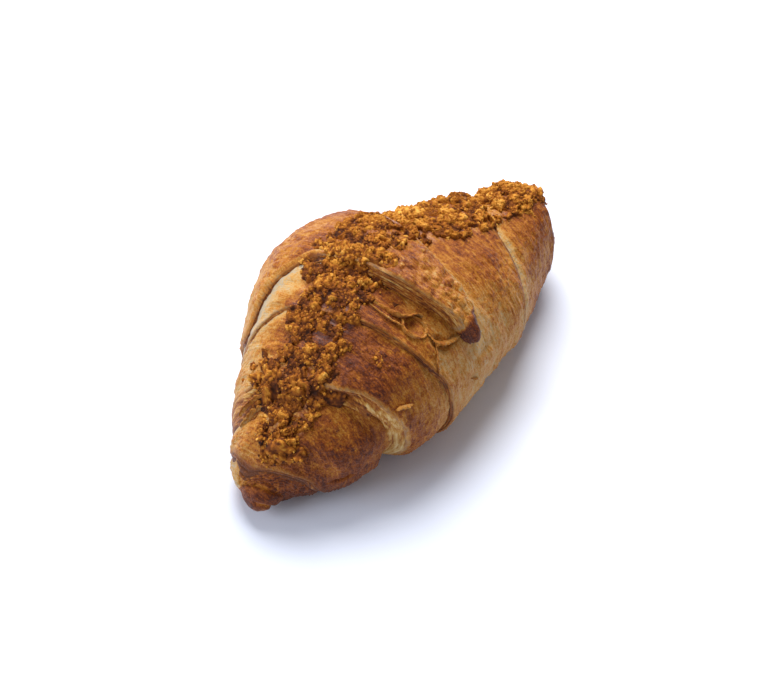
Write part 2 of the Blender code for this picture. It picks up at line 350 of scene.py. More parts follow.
@dataclass(frozen=True)
class EggWashedCrust:
    """Laminated yeast dough, brushed with egg and baked.

    Browning runs from cream where a turn was covered, over gold, to dark red-brown on the highest bulges. It
    is freckled with blisters of 1 to 3 mm, streaked along the turns where the layers were stretched, and the
    egg gives it a soft, broken gloss.
    """

    name: str = "egg_washed_laminated_dough"
    browning: tuple[tuple[float, str], ...] = (
        (0.0, "#ab9c83"),
        (0.2, "#c09453"),
        (0.4, "#b47320"),
        (0.6, "#8d4809"),
        (0.8, "#5c2404"),
        (1.0, "#2e130b"),
    )
    layers: tuple[tuple[float, str], ...] = (
        (0.0, "#5c2c07"),
        (0.3, "#95520f"),
        (0.55, "#bb863a"),
        (1.0, "#dbc28a"),
    )
    freckle_mm: float = 1.4
    patch_mm: float = 6.0
    pore_mm: float = 0.45
    streak_mm: tuple[float, float] = (0.5, 4.0)
    # how much of the browning comes from freckles, patches, pores and streaks
    weights: tuple[float, ...] = (0.40, 0.30, 0.56, 0.54)
    layer_contrast: float = 1.5
    roughness: tuple[float, float] = (0.34, 0.62)
    smoother_glazed: float = 0.22
    coat: float = 0.02
    coat_glazed: float = 0.24
    coat_roughness: float = 0.35
    sheen: float = 0.07
    sheen_roughness: float = 0.5
    specular: float = 0.20
    ior: float = 1.45
    bump: float = 0.7
    bump_mm: float = 0.5

    def make(self) -> bpy.types.Material:
        """Builds the material: the mesh's browning, with its painted shade, plus noise, which a ramp turns
        into colour.
        """
        material, tree, shader = new_material(self.name)
        place = add_node(tree, "ShaderNodeTexCoord").outputs["Object"]
        wrap = add_node(tree, "ShaderNodeAttribute", attribute_name="wrap").outputs["Vector"]
        bake, cut, glaze = (
            add_node(tree, "ShaderNodeAttribute", attribute_name=mark).outputs["Fac"]
            for mark in ("bake", "cut", "glaze")
        )
        across, along = self.streak_mm
        stretch = {0: wrap, 1: (1 / across, 1 / along, 1 / across)}
        stretched = add_node(tree, "ShaderNodeVectorMath", stretch, operation="MULTIPLY").outputs["Vector"]
        # each noise's coordinates, scale and detail; the first three lie on object coordinates in metres
        patterns = (
            (place, 1 / (self.freckle_mm * MM), 3.0),
            (place, 1 / (self.patch_mm * MM), 2.0),
            (place, 1 / (self.pore_mm * MM), 2.0),
            (stretched, 1.0, 3.0),
        )
        noises = [
            add_node(
                tree, "ShaderNodeTexNoise", {"Vector": at, "Scale": scale, "Detail": detail, "Roughness": 0.6}
            ).outputs["Fac"]
            for at, scale, detail in patterns
        ]
        freckles, _, pores, streaks = noises
        value = bake
        for source, weight in zip(noises, self.weights):
            centred = {0: source, 1: weight, 2: -weight / 2}
            centred = add_node(tree, "ShaderNodeMath", centred, operation="MULTIPLY_ADD").outputs[0]
            value = add_node(tree, "ShaderNodeMath", {0: value, 1: centred}, operation="ADD").outputs[0]
        edge = {0: streaks, 1: self.layer_contrast, 2: (1 - self.layer_contrast) / 2}
        edge = add_node(tree, "ShaderNodeMath", edge, operation="MULTIPLY_ADD").outputs[0]
        lighter = add_node(tree, "ShaderNodeMath", {0: edge, 1: bake}, operation="SUBTRACT").outputs[0]
        crust, layered = (
            set_ramp(add_node(tree, "ShaderNodeValToRGB", {"Fac": amount}), stops).outputs["Color"]
            for amount, stops in ((value, self.browning), (lighter, self.layers))
        )
        either = {"Factor": cut, 6: crust, 7: layered}
        low, high = self.roughness
        rough = {"Value": freckles, "To Min": low, "To Max": high}
        rough = add_node(tree, "ShaderNodeMapRange", rough).outputs["Result"]
        rough = {0: glaze, 1: -self.smoother_glazed, 2: rough}
        coated = {0: glaze, 1: self.coat_glazed, 2: self.coat}
        grain = add_node(tree, "ShaderNodeMath", {0: pores, 1: streaks}, operation="ADD").outputs[0]
        bump = {"Strength": self.bump, "Distance": self.bump_mm * MM, "Height": grain}
        finish = {
            "Base Color": add_node(tree, "ShaderNodeMix", either, data_type="RGBA").outputs[2],
            "Roughness": add_node(tree, "ShaderNodeMath", rough, operation="MULTIPLY_ADD").outputs[0],
            "Normal": add_node(tree, "ShaderNodeBump", bump).outputs["Normal"],
            "Coat Weight": add_node(tree, "ShaderNodeMath", coated, operation="MULTIPLY_ADD").outputs[0],
            "Coat Roughness": self.coat_roughness,
            "Sheen Weight": self.sheen,
            "Sheen Roughness": self.sheen_roughness,
            "Specular IOR Level": self.specular,
            "IOR": self.ior,
        }
        feed(tree, shader, finish)
        return material


@dataclass(frozen=True)
class SpicedCrumble:
    """Butter, flour, brown sugar and cinnamon rubbed to crumbs and baked: dry, sandy and golden brown."""

    name: str = "baked_brown_sugar_crumble"
    toasting: tuple[tuple[float, str], ...] = (
        (0.0, "#e2a94e"),
        (0.25, "#c4832a"),
        (0.5, "#96540f"),
        (0.75, "#5c2b08"),
        (1.0, "#301202"),
    )
    mottle_mm: float = 1.1
    mottle_weight: float = 0.5
    sugar_mm: float = 0.35
    roughness: float = 0.78
    specular: float = 0.25
    ior: float = 1.45
    bump: float = 0.6
    bump_mm: float = 0.4

    def make(self) -> bpy.types.Material:
        """Builds the material: each grain's toasting, with its painted light and shade, plus a fine mottle
        picks the colour.
        """
        material, tree, shader = new_material(self.name)
        place = add_node(tree, "ShaderNodeTexCoord").outputs["Object"]
        toast = add_node(tree, "ShaderNodeAttribute", attribute_name="toast").outputs["Fac"]
        mottle, sugar = (
            add_node(
                tree, "ShaderNodeTexNoise", {"Vector": place, "Scale": 1 / (size * MM), "Detail": detail}
            ).outputs["Fac"]
            for size, detail in ((self.mottle_mm, 3.0), (self.sugar_mm, 2.0))
        )
        offset = {0: mottle, 1: self.mottle_weight, 2: -self.mottle_weight / 2}
        offset = add_node(tree, "ShaderNodeMath", offset, operation="MULTIPLY_ADD").outputs[0]
        value = add_node(tree, "ShaderNodeMath", {0: toast, 1: offset}, operation="ADD").outputs[0]
        colour = set_ramp(add_node(tree, "ShaderNodeValToRGB", {"Fac": value}), self.toasting)
        bump = {"Strength": self.bump, "Distance": self.bump_mm * MM, "Height": sugar}
        finish = {
            "Base Color": colour.outputs["Color"],
            "Normal": add_node(tree, "ShaderNodeBump", bump).outputs["Normal"],
            "Roughness": self.roughness,
            "Specular IOR Level": self.specular,
            "IOR": self.ior,
        }
        feed(tree, shader, finish)
        return material


@dataclass(frozen=True)
class PaleFloor:
    """Matt white laminate, which gives a plain, even ground."""

    name: str = "matt_white_laminate"
    colour: str = "#e9eefb"
    roughness: float = 0.9
    specular: float = 0.1

    def make(self) -> bpy.types.Material:
        """Builds the plain material."""
        material, tree, shader = new_material(self.name)
        finish = {"Base Color": linear(self.colour), "Roughness": self.roughness}
        feed(tree, shader, {**finish, "Specular IOR Level": self.specular})
        return material


# ---------------------------------------------------------------- the roll


class Lip(Enum):
    """The edges of the turns, from the thick end to the slim one."""

    NEAR_THIRD = 0
    NEAR_SECOND = 1
    NEAR_TOP = 2
    FAR_TOP = 3
    FAR_SECOND = 4
    NEAR_RIM = 5
    FAR_RIM = 6


@dataclass(frozen=True)
class LipShape:
    """One edge of a turn, by the roll's angles.

    Attributes:
        side: -1 where the turn below lies towards -X, 1 where it lies towards +X.
        places: where the edge lies along X.
        heights: how thick it is.
        pale: how wide the unbrowned dough beside it is, on the turn below.
        run: how far its cut wall slopes out from top to bottom.
        toast: how brown the wall baked, 0.3 being plain and less being paler.
        groove: how deep both turns dip into the crease between them.
    """

    side: int
    places: tuple[float, ...]
    heights: tuple[float, ...]
    pale: tuple[float, ...]
    run: tuple[float, ...]
    toast: tuple[float, ...]
    groove: tuple[float, ...] = (0.0,) * 8


@dataclass(frozen=True)
class Roll:
    """The rolled dough: its plain section along X, and the lips where its turns overlap."""

    half_length: float = 70.0
    sections: tuple[tuple[float, ...], ...] = (
        # share of the half length, half width, top, underside, sideways centre
        (-1.00, 8.6, 20.0, 1.0, 4.0),
        (-0.85, 15.2, 30.0, 0.5, 2.6),
        (-0.72, 21.8, 37.0, 0.2, 1.2),
        (-0.60, 26.6, 43.0, 0.0, 1.4),
        (-0.30, 36.8, 53.0, -1.5, 4.8),
        (0.00, 39.0, 54.5, -2.0, 6.9),
        (0.30, 32.0, 48.0, -1.5, 3.6),
        (0.45, 28.4, 44.2, -0.9, 1.1),
        (0.60, 22.5, 40.0, 0.0, 0.4),
        (0.85, 15.0, 36.6, 3.0, -0.5),
        (1.00, 9.8, 34.0, 6.0, -2.0),
    )
    tip_from: float = 0.86
    relief_at_tip: float = 1.6
    axis_height: float = 0.46
    top_roundness: float = 0.92
    foot_roundness: float = 0.8
    angles: tuple[float, ...] = (0.0, 45.0, 90.0, 112.0, 135.0, 150.0, 180.0, 270.0)
    lips: tuple[LipShape, ...] = (
        LipShape(
            -1,
            (-33.6, -40.2, -49.0, -54.5, -60.0, -61.0, -60.0, -38.0),
            (2.6, 3.6, 3.5, 3.2, 2.6, 2.4, 2.4, 1.5),
            (0.5, 0.3, 0.3, 0.8, 1.4, 1.4, 1.4, 0.3),
            (4.0, 4.8, 4.0, 5.0, 7.0, 7.0, 5.0, 3.0),
            (-0.22, -0.08, 0.1, 0.15, 0.15, 0.15, 0.25, 0.2),
            (3.2, 2.0, 0.8, 0.8, 1.0, 1.0, 1.0, 3.2),
        ),
        LipShape(
            -1,
            (-12.5, -17.0, -25.0, -29.0, -35.0, -38.5, -40.5, -26.0),
            (1.4, 1.5, 1.3, 0.7, 0.4, 0.4, 0.7, 1.2),
            (0.8, 0.8, 0.6, 2.0, 3.0, 2.4, 1.6, 0.5),
            (0.8,) * 8,
            (0.3, 0.3, 0.3, 0.1, 0.0, 0.0, 0.2, 0.3),
        ),
        LipShape(
            -1,
            (4.0, 1.5, -7.5, -11.5, -23.5, -34.0, -36.0, -20.0),
            (0.0, 0.0, 1.8, 1.0, 0.7, 0.7, 1.2, 1.5),
            (0.0, 1.0, 3.0, 11.0, 20.0, 20.0, 8.0, 1.0),
            (2.0, 2.0, 1.5, 1.0, 1.0, 1.0, 1.0, 1.0),
            (0.3, 0.3, 0.3, 0.1, 0.0, 0.0, 0.2, 0.4),
            (0.0, 0.0, 0.0, 0.3, 0.4, 0.4, 0.3, 0.0),
        ),
        LipShape(
            1,
            (12.0, 11.5, 14.0, 15.5, 17.0, 18.0, 20.0, 20.0),
            (0.0, 0.0, 1.8, 3.6, 4.5, 4.5, 3.5, 1.5),
            (0.0, 1.1, 2.0, 2.4, 3.0, 3.0, 2.6, 1.0),
            (1.0, 1.0, 1.0, 1.5, 1.5, 1.5, 1.0, 1.0),
            (0.3, 0.3, 0.35, 0.4, 0.4, 0.4, 0.4, 0.4),
        ),
        LipShape(
            1,
            (32.0, 38.5, 44.5, 47.5, 50.0, 51.0, 50.0, 40.0),
            (1.0, 1.0, 2.2, 4.4, 4.6, 4.2, 3.2, 1.0),
            (2.6, 3.0, 3.0, 2.4, 2.2, 2.2, 2.0, 0.6),
            (2.4, 2.4, 2.0, 1.8, 1.8, 1.8, 1.5, 1.0),
            (0.2, 0.25, 0.3, 0.3, 0.35, 0.35, 0.25, 0.3),
            (0.3, 0.3, 0.0, 0.0, 0.0, 0.0, 0.0, 0.2),
        ),
        LipShape(
            -1,
            (-59.5, -66.0, -68.2, -67.5, -66.5, -66.0, -65.0, -50.0),
            (0.9, 0.7, 0.5, 0.5, 0.7, 0.9, 1.1, 1.0),
            (0.0,) * 8,
            (2.0, 1.4, 0.8, 0.8, 0.8, 0.8, 1.2, 1.0),
            (0.42,) * 8,
        ),
        LipShape(
            1,
            (61.0, 64.5, 66.5, 67.0, 67.0, 66.0, 64.0, 56.0),
            (1.6, 1.4, 1.2, 1.2, 1.4, 1.6, 1.8, 1.4),
            (0.0, 0.0, 0.0, 0.0, 0.5, 0.5, 0.5, 0.0),
            (1.5, 1.2, 1.0, 1.0, 1.0, 1.2, 1.5, 1.0),
            (0.5,) * 8,
        ),
    )
    # how a lip wavers: the amount and size of two noises, on a ring for each lip, and a rim's share of it
    wobble: tuple[tuple[float, float], ...] = ((0.8, 12.0), (0.15, 3.6))
    wobble_ring: float = 30.0
    wobble_apart: float = 40.0
    rim_share: float = 0.3
    lip_fade: float = 11.0
    lip_gap: float = 2.6
    groove_width: float = 5.0
    foot_fade: tuple[float, float] = (0.45, 0.85)
    tongue: tuple[tuple[float, float, float, float], ...] = (
        # angle, near edge, far edge, height above the turn below
        (104.0, -8.0, 16.0, 1.6),
        (84.0, -6.0, 13.0, 3.4),
        (66.0, -3.5, 10.0, 4.4),
        (48.0, -0.2, 8.2, 4.9),
        (36.0, 1.0, 7.0, 5.2),
        (26.0, 1.4, 5.4, 4.6),
    )
    tongue_end: float = 26.0

    def tongue_edges(self, angle: Array) -> tuple[Array, Array, Array]:
        """Returns the tongue's near edge, its far edge and its height above the turn below at each angle."""
        near, far, high = curves(self.tongue[::-1], angle)
        behind = ramp(angle, 88.0, 104.0)
        near = blend(near, self.place(Lip.NEAR_TOP, angle), behind)
        far = blend(far, self.place(Lip.FAR_TOP, angle), behind)
        return near, far, high * (1 - ramp(angle, 100.0, 125.0))

    def around(self, values: tuple[float, ...], angle: Array) -> Array:
        """Returns the closed curve round the roll through values given at the roll's angles."""
        at = np.array(self.angles)
        return smooth(
            np.concatenate([at[-2:] - 360, at, at[:2] + 360]),
            np.concatenate([values[-2:], values, values[:2]]),
            np.mod(angle, 360.0),
        )

    def place(self, lip: Lip, angle: Array) -> Array:
        """Returns where a lip lies along X at an angle: a smooth course, which wavers by noise."""
        found = self.around(self.lips[lip.value].places, angle)
        turn = np.radians(angle)
        ring, apart = self.wobble_ring, self.wobble_apart * lip.value
        around = np.stack([np.cos(turn) * ring, np.sin(turn) * ring, np.full(np.shape(turn), apart)], -1)
        share = self.rim_share if lip in (Lip.NEAR_RIM, Lip.FAR_RIM) else 1.0
        for amount, size in self.wobble:
            found = found + share * amount * noise(around, size, 17)
        if lip is Lip.NEAR_TOP:
            found = np.maximum(found, self.place(Lip.NEAR_SECOND, angle) + self.lip_gap)
        return found

    def thickness(self, lip: Lip, angle: Array) -> Array:
        """Returns how thick a lip is at an angle, pressed flat underneath."""
        start, end = self.foot_fade
        under = ramp(-np.sin(np.radians(angle)), start, end)
        return np.maximum(self.around(self.lips[lip.value].heights, angle), 0) * (1 - under)

    def lift(self, x: Array, angle: Array, over: tuple[Lip, ...]) -> Array:
        """Returns how far a turn stands out of the plain section.

        Beside each lip the turn that lies over swells by half the lip's thickness and the one below dips by
        as much. Both die away exponentially with the distance from the lip.

        Args:
            x: places along X.
            angle: angles round the roll.
            over: the lips that this turn lies over at.

        Returns:
            The lift in millimetres.
        """
        total = np.zeros(np.broadcast(x, angle).shape)
        for lip in Lip:
            sign = 1 if lip in over else -1
            away = np.abs(x - self.place(lip, angle))
            total += sign * self.thickness(lip, angle) / 2 * np.exp(-away / self.lip_fade)
        return total - self.grooves(x, angle)

    def grooves(self, x: Array, angle: Array) -> Array:
        """Returns how far the roll dips into the creases: a bell across each lip."""
        dips = (
            self.around(self.lips[lip.value].groove, angle)
            * np.exp(-(((x - self.place(lip, angle)) / self.groove_width) ** 2))
            for lip in Lip
            if any(self.lips[lip.value].groove)
        )
        return sum(dips)

    def outer_lift(self, x: Array, angle: Array) -> Array:
        """Returns the lift of the outermost turn: over at a lip on one side of it, below on the other."""
        total = np.zeros(np.broadcast(x, angle).shape)
        for lip in Lip:
            out = (x - self.place(lip, angle)) * self.lips[lip.value].side
            swell = self.thickness(lip, angle) / 2 * np.exp(-np.abs(out) / self.lip_fade)
            total -= np.tanh(out) * swell
        total = total - self.grooves(x, angle)
        near, far, high = self.tongue_edges(angle)
        between = ramp(x, near - 0.6, near + 1.2) * (1 - ramp(x, far - 1.2, far + 0.6))
        return total + high * between * ramp(angle, self.tongue_end, self.tongue_end + 4)

    def crust(self, x: Array, angle: Array, height: Array, inwards: Array | float = 0.0) -> Array:
        """Returns points of the roll's surface.

        The plain section is a rounded oval about a low axis: the sine and cosine of the angle, each raised to
        a power near 1, times its half height and half width. The two ends are closed by a quarter circle.

        Args:
            x: places along X.
            angle: angles round the roll.
            height: how far the surface is raised there.
            inwards: how far the point is drawn to the axis, 1 being the axis itself.

        Returns:
            (..., 3) positions in the roll's own millimetres.
        """
        share = np.clip(x / self.half_length, -1, 1)
        width, top, foot, centre = curves(self.sections, share)
        beyond = np.clip((np.abs(share) - self.tip_from) / (1 - self.tip_from), 0, 1)
        cap = np.sqrt(1 - beyond**2)
        axis = foot + self.axis_height * (top - foot)
        turn = np.radians(angle)
        across = np.sign(np.cos(turn)) * np.abs(np.cos(turn)) ** self.top_roundness
        rise = np.abs(np.sin(turn))
        keep = 1 - np.asarray(inwards)
        raised = height * np.clip(cap * self.relief_at_tip, 0, 1)
        upper = axis + ((top - axis) * cap + raised) * rise**self.top_roundness * keep
        lower = axis - ((axis - foot) * cap + raised) * rise**self.foot_roundness * keep
        side = centre - (width * cap + raised) * across * keep
        parts = np.broadcast_arrays(x, side, np.where(np.sin(turn) >= 0, upper, lower))
        return np.stack(parts, -1)

    def arc(self, x: Array, angle: Array) -> Array:
        """Returns about how far round the crust a point lies, in millimetres from the front."""
        width, top, foot, _ = curves(self.sections, np.clip(x / self.half_length, -1, 1))
        return np.radians(angle) * (width + (top - foot) / 2) / 2

    def wrap(self, x: Array, angle: Array, depth: Array | float = 0.0) -> Array:
        """Returns the place along X, round the roll and in depth, in millimetres."""
        return np.stack(np.broadcast_arrays(x, self.arc(x, angle), depth), -1)


def place_in_frame(roll: Roll) -> Array:
    """Returns how far the roll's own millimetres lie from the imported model's, from the two boxes.

    The slim end is the roll's furthest point at +X, and the fullest turn its furthest at +Y.
    """
    _, high = (np.array(corner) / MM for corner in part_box(NODE))
    x, angle = np.meshgrid(np.linspace(-40, 40, 161), np.linspace(130, 200, 141), indexing="ij")
    raised = roll.lift(x, angle, tuple(Lip))
    back = roll.crust(x, angle, raised)[..., 1].max()
    return np.array([high[0] - roll.half_length, high[1] - back, 0.0])


# ---------------------------------------------------------------- crust relief and browning


@dataclass(frozen=True)
class Relief:
    """What proving and baking did to a turn's skin, as heights in millimetres and sizes in millimetres."""

    puff: float = 0.75
    puff_size: float = 15.0
    ripple: float = 0.26
    ripple_size: tuple[float, float] = (3.6, 9.0)
    streak: float = 0.22
    streak_size: tuple[float, float] = (1.0, 8.0)
    streak_patch: float = 9.0
    blister: float = 0.30
    blister_size: float = 2.4
    blister_patch: float = 11.0
    flake: float = 1.0
    flake_size: tuple[float, float] = (4.5, 10.0)
    flake_layers: int = 7
    flake_edge: float = 0.8
    tone: float = 0.07
    grain: float = 0.12
    grain_size: float = 0.8

    def height(self, points: Array, wrap: Array, seed: int) -> Array:
        """Adds up swellings, ripples and streaks that run round the roll, blisters and grain.

        Args:
            points: (..., 3) positions.
            wrap: (..., 3) place along X, round the roll and in depth.
            seed: picks the pattern.

        Returns:
            The height to push the surface out by.
        """
        total = self.puff * noise(points, self.puff_size, seed)
        total += self.ripple * wrapped_noise(wrap, self.ripple_size, seed + 1)
        ridge = 1 - 2 * np.abs(wrapped_noise(wrap, self.streak_size, seed + 2))
        total += self.streak * ridge * ramp(noise(points, self.streak_patch, seed + 3), -0.4, 0.3)
        nearest, owner = cells(points, self.blister_size, seed + 4)
        bubble = np.clip(1 - (nearest / blend(0.3, 0.62, owner)) ** 2, 0, 1)
        total += self.blister * bubble * ramp(noise(points, self.blister_patch, seed + 5), -0.3, 0.4)
        total += self.grain * noise(points, self.grain_size, seed + 6)
        return total + self.flakes(wrap, seed + 7)

    def level(self, wrap: Array, seed: int) -> Array:
        """Returns which skin layer shows, and how near its edge: stretched noise times their number."""
        across, along = self.flake_size
        return self.flake_layers * turbulence(wrap / (across, along, across), 1.0, seed, 4)

    def flakes(self, wrap: Array, seed: int) -> Array:
        """Returns the steps of broken skin layers: noise cut into terraces, each with a short edge."""
        level = self.level(wrap, seed)
        whole = np.floor(level)
        return self.flake * (whole + ramp(level - whole, self.flake_edge, 1.0)) / self.flake_layers

    def flake_tone(self, wrap: Array, seed: int) -> Array:
        """Returns how much browner each skin layer baked than the rest: the sine of its number."""
        return self.tone * np.sin(2.4 * np.floor(self.level(wrap, seed + 7)))


@dataclass(frozen=True)
class Browning:
    """How dark each part of the crust is coloured, from 0, cream, to 1, nearly burnt: its baking, and partly
    painted shade where the front flank faces away from the lamps.
    """

    along: tuple[tuple[float, float, float, float], ...] = (
        # place along X; browning at the front flank, the top and the back flank, the darker front values
        # being partly painted shade
        (-70.0, 0.80, 0.48, 0.14),
        (-58.0, 0.80, 0.50, 0.22),
        (-46.0, 0.70, 0.50, 0.27),
        (-30.0, 0.60, 0.76, 0.21),
        (-12.0, 0.38, 0.68, 0.37),
        (5.0, 0.28, 0.54, 0.54),
        (25.0, 0.32, 0.66, 0.50),
        (42.0, 0.50, 0.57, 0.56),
        (56.0, 0.58, 0.63, 0.60),
        (70.0, 0.66, 0.72, 0.66),
    )
    uneven: float = 0.12
    uneven_size: float = 13.0
    high: float = 0.10
    streak: float = 0.12
    streak_size: tuple[float, float] = (2.2, 12.0)

    def value(self, roll: Roll, points: Array, x: Array, angle: Array, relief: Array) -> Array:
        """Returns the browning: the stations mixed by the angle, with patches and raised spots.

        Where the skin was stretched thin, long pale streaks run round the roll.
        """
        front, top, back = curves(self.along, x)
        turn = np.radians(angle)
        upward = np.clip(np.sin(turn), 0, 1) ** 2
        # the front flank, away from the lamps, is set darker: partly painted shade
        flank = np.where(np.cos(turn) >= 0, front, back)
        brown = blend(flank, top, upward)
        brown = brown + self.uneven * turbulence(points, self.uneven_size, 31)
        across, along = self.streak_size
        wrap = roll.wrap(x, angle) / (across, along, across)
        brown = brown - self.streak * ramp(turbulence(wrap, 1.0, 37, 2), 0.05, 0.6)
        return brown + self.high * np.clip(relief, -1.5, 1.5)


RELIEF = Relief()
BROWNING = Browning()


def paleness(roll: Roll, lip: Lip, x: Array, angle: Array) -> Array:
    """Returns 1 beside a lip on the turn below it, falling to 0 over its pale width, made ragged by noise."""
    shape = roll.lips[lip.value]
    away = (x - roll.place(lip, angle)) * shape.side
    width = np.maximum(roll.around(shape.pale, angle), 0)
    ragged = 1 + 0.7 * wrapped_noise(roll.wrap(x, angle), (2.5, 6.0), 51)
    fall = np.exp(-((np.clip(away, 0, None) * ragged / np.maximum(width, 0.5)) ** 1.5))
    return fall * ramp(away, -6.0, -3.0) * np.clip(width / 1.5, 0, 1)


@dataclass(frozen=True)
class CrumbleBand:
    """Where the crumble lies: place along X, middle angle and half angle."""

    stations: tuple[tuple[float, float, float], ...] = (
        (-65.0, 56.0, 12.0),
        (-58.0, 74.0, 28.0),
        (-52.0, 88.0, 29.0),
        (-45.0, 95.0, 31.0),
        (-38.0, 90.0, 20.0),
        (-31.0, 97.0, 20.0),
        (-22.0, 97.0, 18.0),
        (-12.0, 97.0, 18.0),
        (-5.0, 97.0, 19.0),
        (0.0, 100.0, 18.0),
        (8.0, 104.0, 14.0),
        (15.0, 100.0, 15.0),
        (25.0, 103.0, 22.0),
        (33.0, 102.0, 24.0),
        (43.0, 101.0, 28.0),
        (52.0, 99.0, 31.0),
        (60.0, 94.0, 32.0),
        (66.0, 76.0, 22.0),
    )
    end_fade: float = 6.0
    glaze_edge: float = 0.35

    def inside(self, x: Array, angle: Array) -> Array:
        """Returns 1 in the middle of the band, falling to 0 at its edges and below 0 outside."""
        middle, half = curves(self.stations, x)
        ends = np.minimum(x - self.stations[0][0], self.stations[-1][0] - x) / self.end_fade
        return np.minimum(1 - np.abs(angle - middle) / half, ends)

    def glaze(self, x: Array, angle: Array) -> Array:
        """Returns how thick the dull glaze lies on the crust, which is under the crumble alone."""
        return ramp(self.inside(x, angle), 0.0, self.glaze_edge)


BAND = CrumbleBand()


def ledges(
    wrap: Array, thickness: float, bend: float, bend_size: tuple[float, float], length: float, seed: int
) -> tuple[Array, Array]:
    """Works out the layers of a cut wall.

    The layer's number is the depth over its thickness, bent by noise, and the ledge is the square root of the
    sine of its fraction.

    Args:
        wrap: (..., 3) place along X, round the roll and in depth.
        thickness: how thick each layer is.
        bend: by how many layers the noise bends them.
        bend_size: the size of that noise along X and round the roll.
        length: the size, round the roll, of each layer's own noise.
        seed: picks the pattern.

    Returns:
        How far each point stands out, 0 between two layers and 1 on a ledge, and each layer's own noise.
    """
    phase = wrap[..., 2] / thickness + bend * wrapped_noise(wrap, bend_size, seed)
    number = np.floor(phase)
    own = noise(np.stack([number * 7.3, wrap[..., 1] / length, number * 3.1], -1), 1.0, seed + 1)
    return np.abs(np.sin(math.pi * (phase - number))) ** 0.5, own


def round_steps(count: int) -> Array:
    """Returns angles round the roll from its underside, where they lie a third as close as elsewhere."""
    angle = np.linspace(-90, 270, 1441)
    density = 1 - 0.65 * ramp(-np.sin(np.radians(angle)), 0.7, 0.9)
    total = np.concatenate([[0], np.cumsum((density[1:] + density[:-1]) / 2)])
    return np.interp(np.arange(count) / count * total[-1], total, angle)


# ---------------------------------------------------------------- the turns of dough


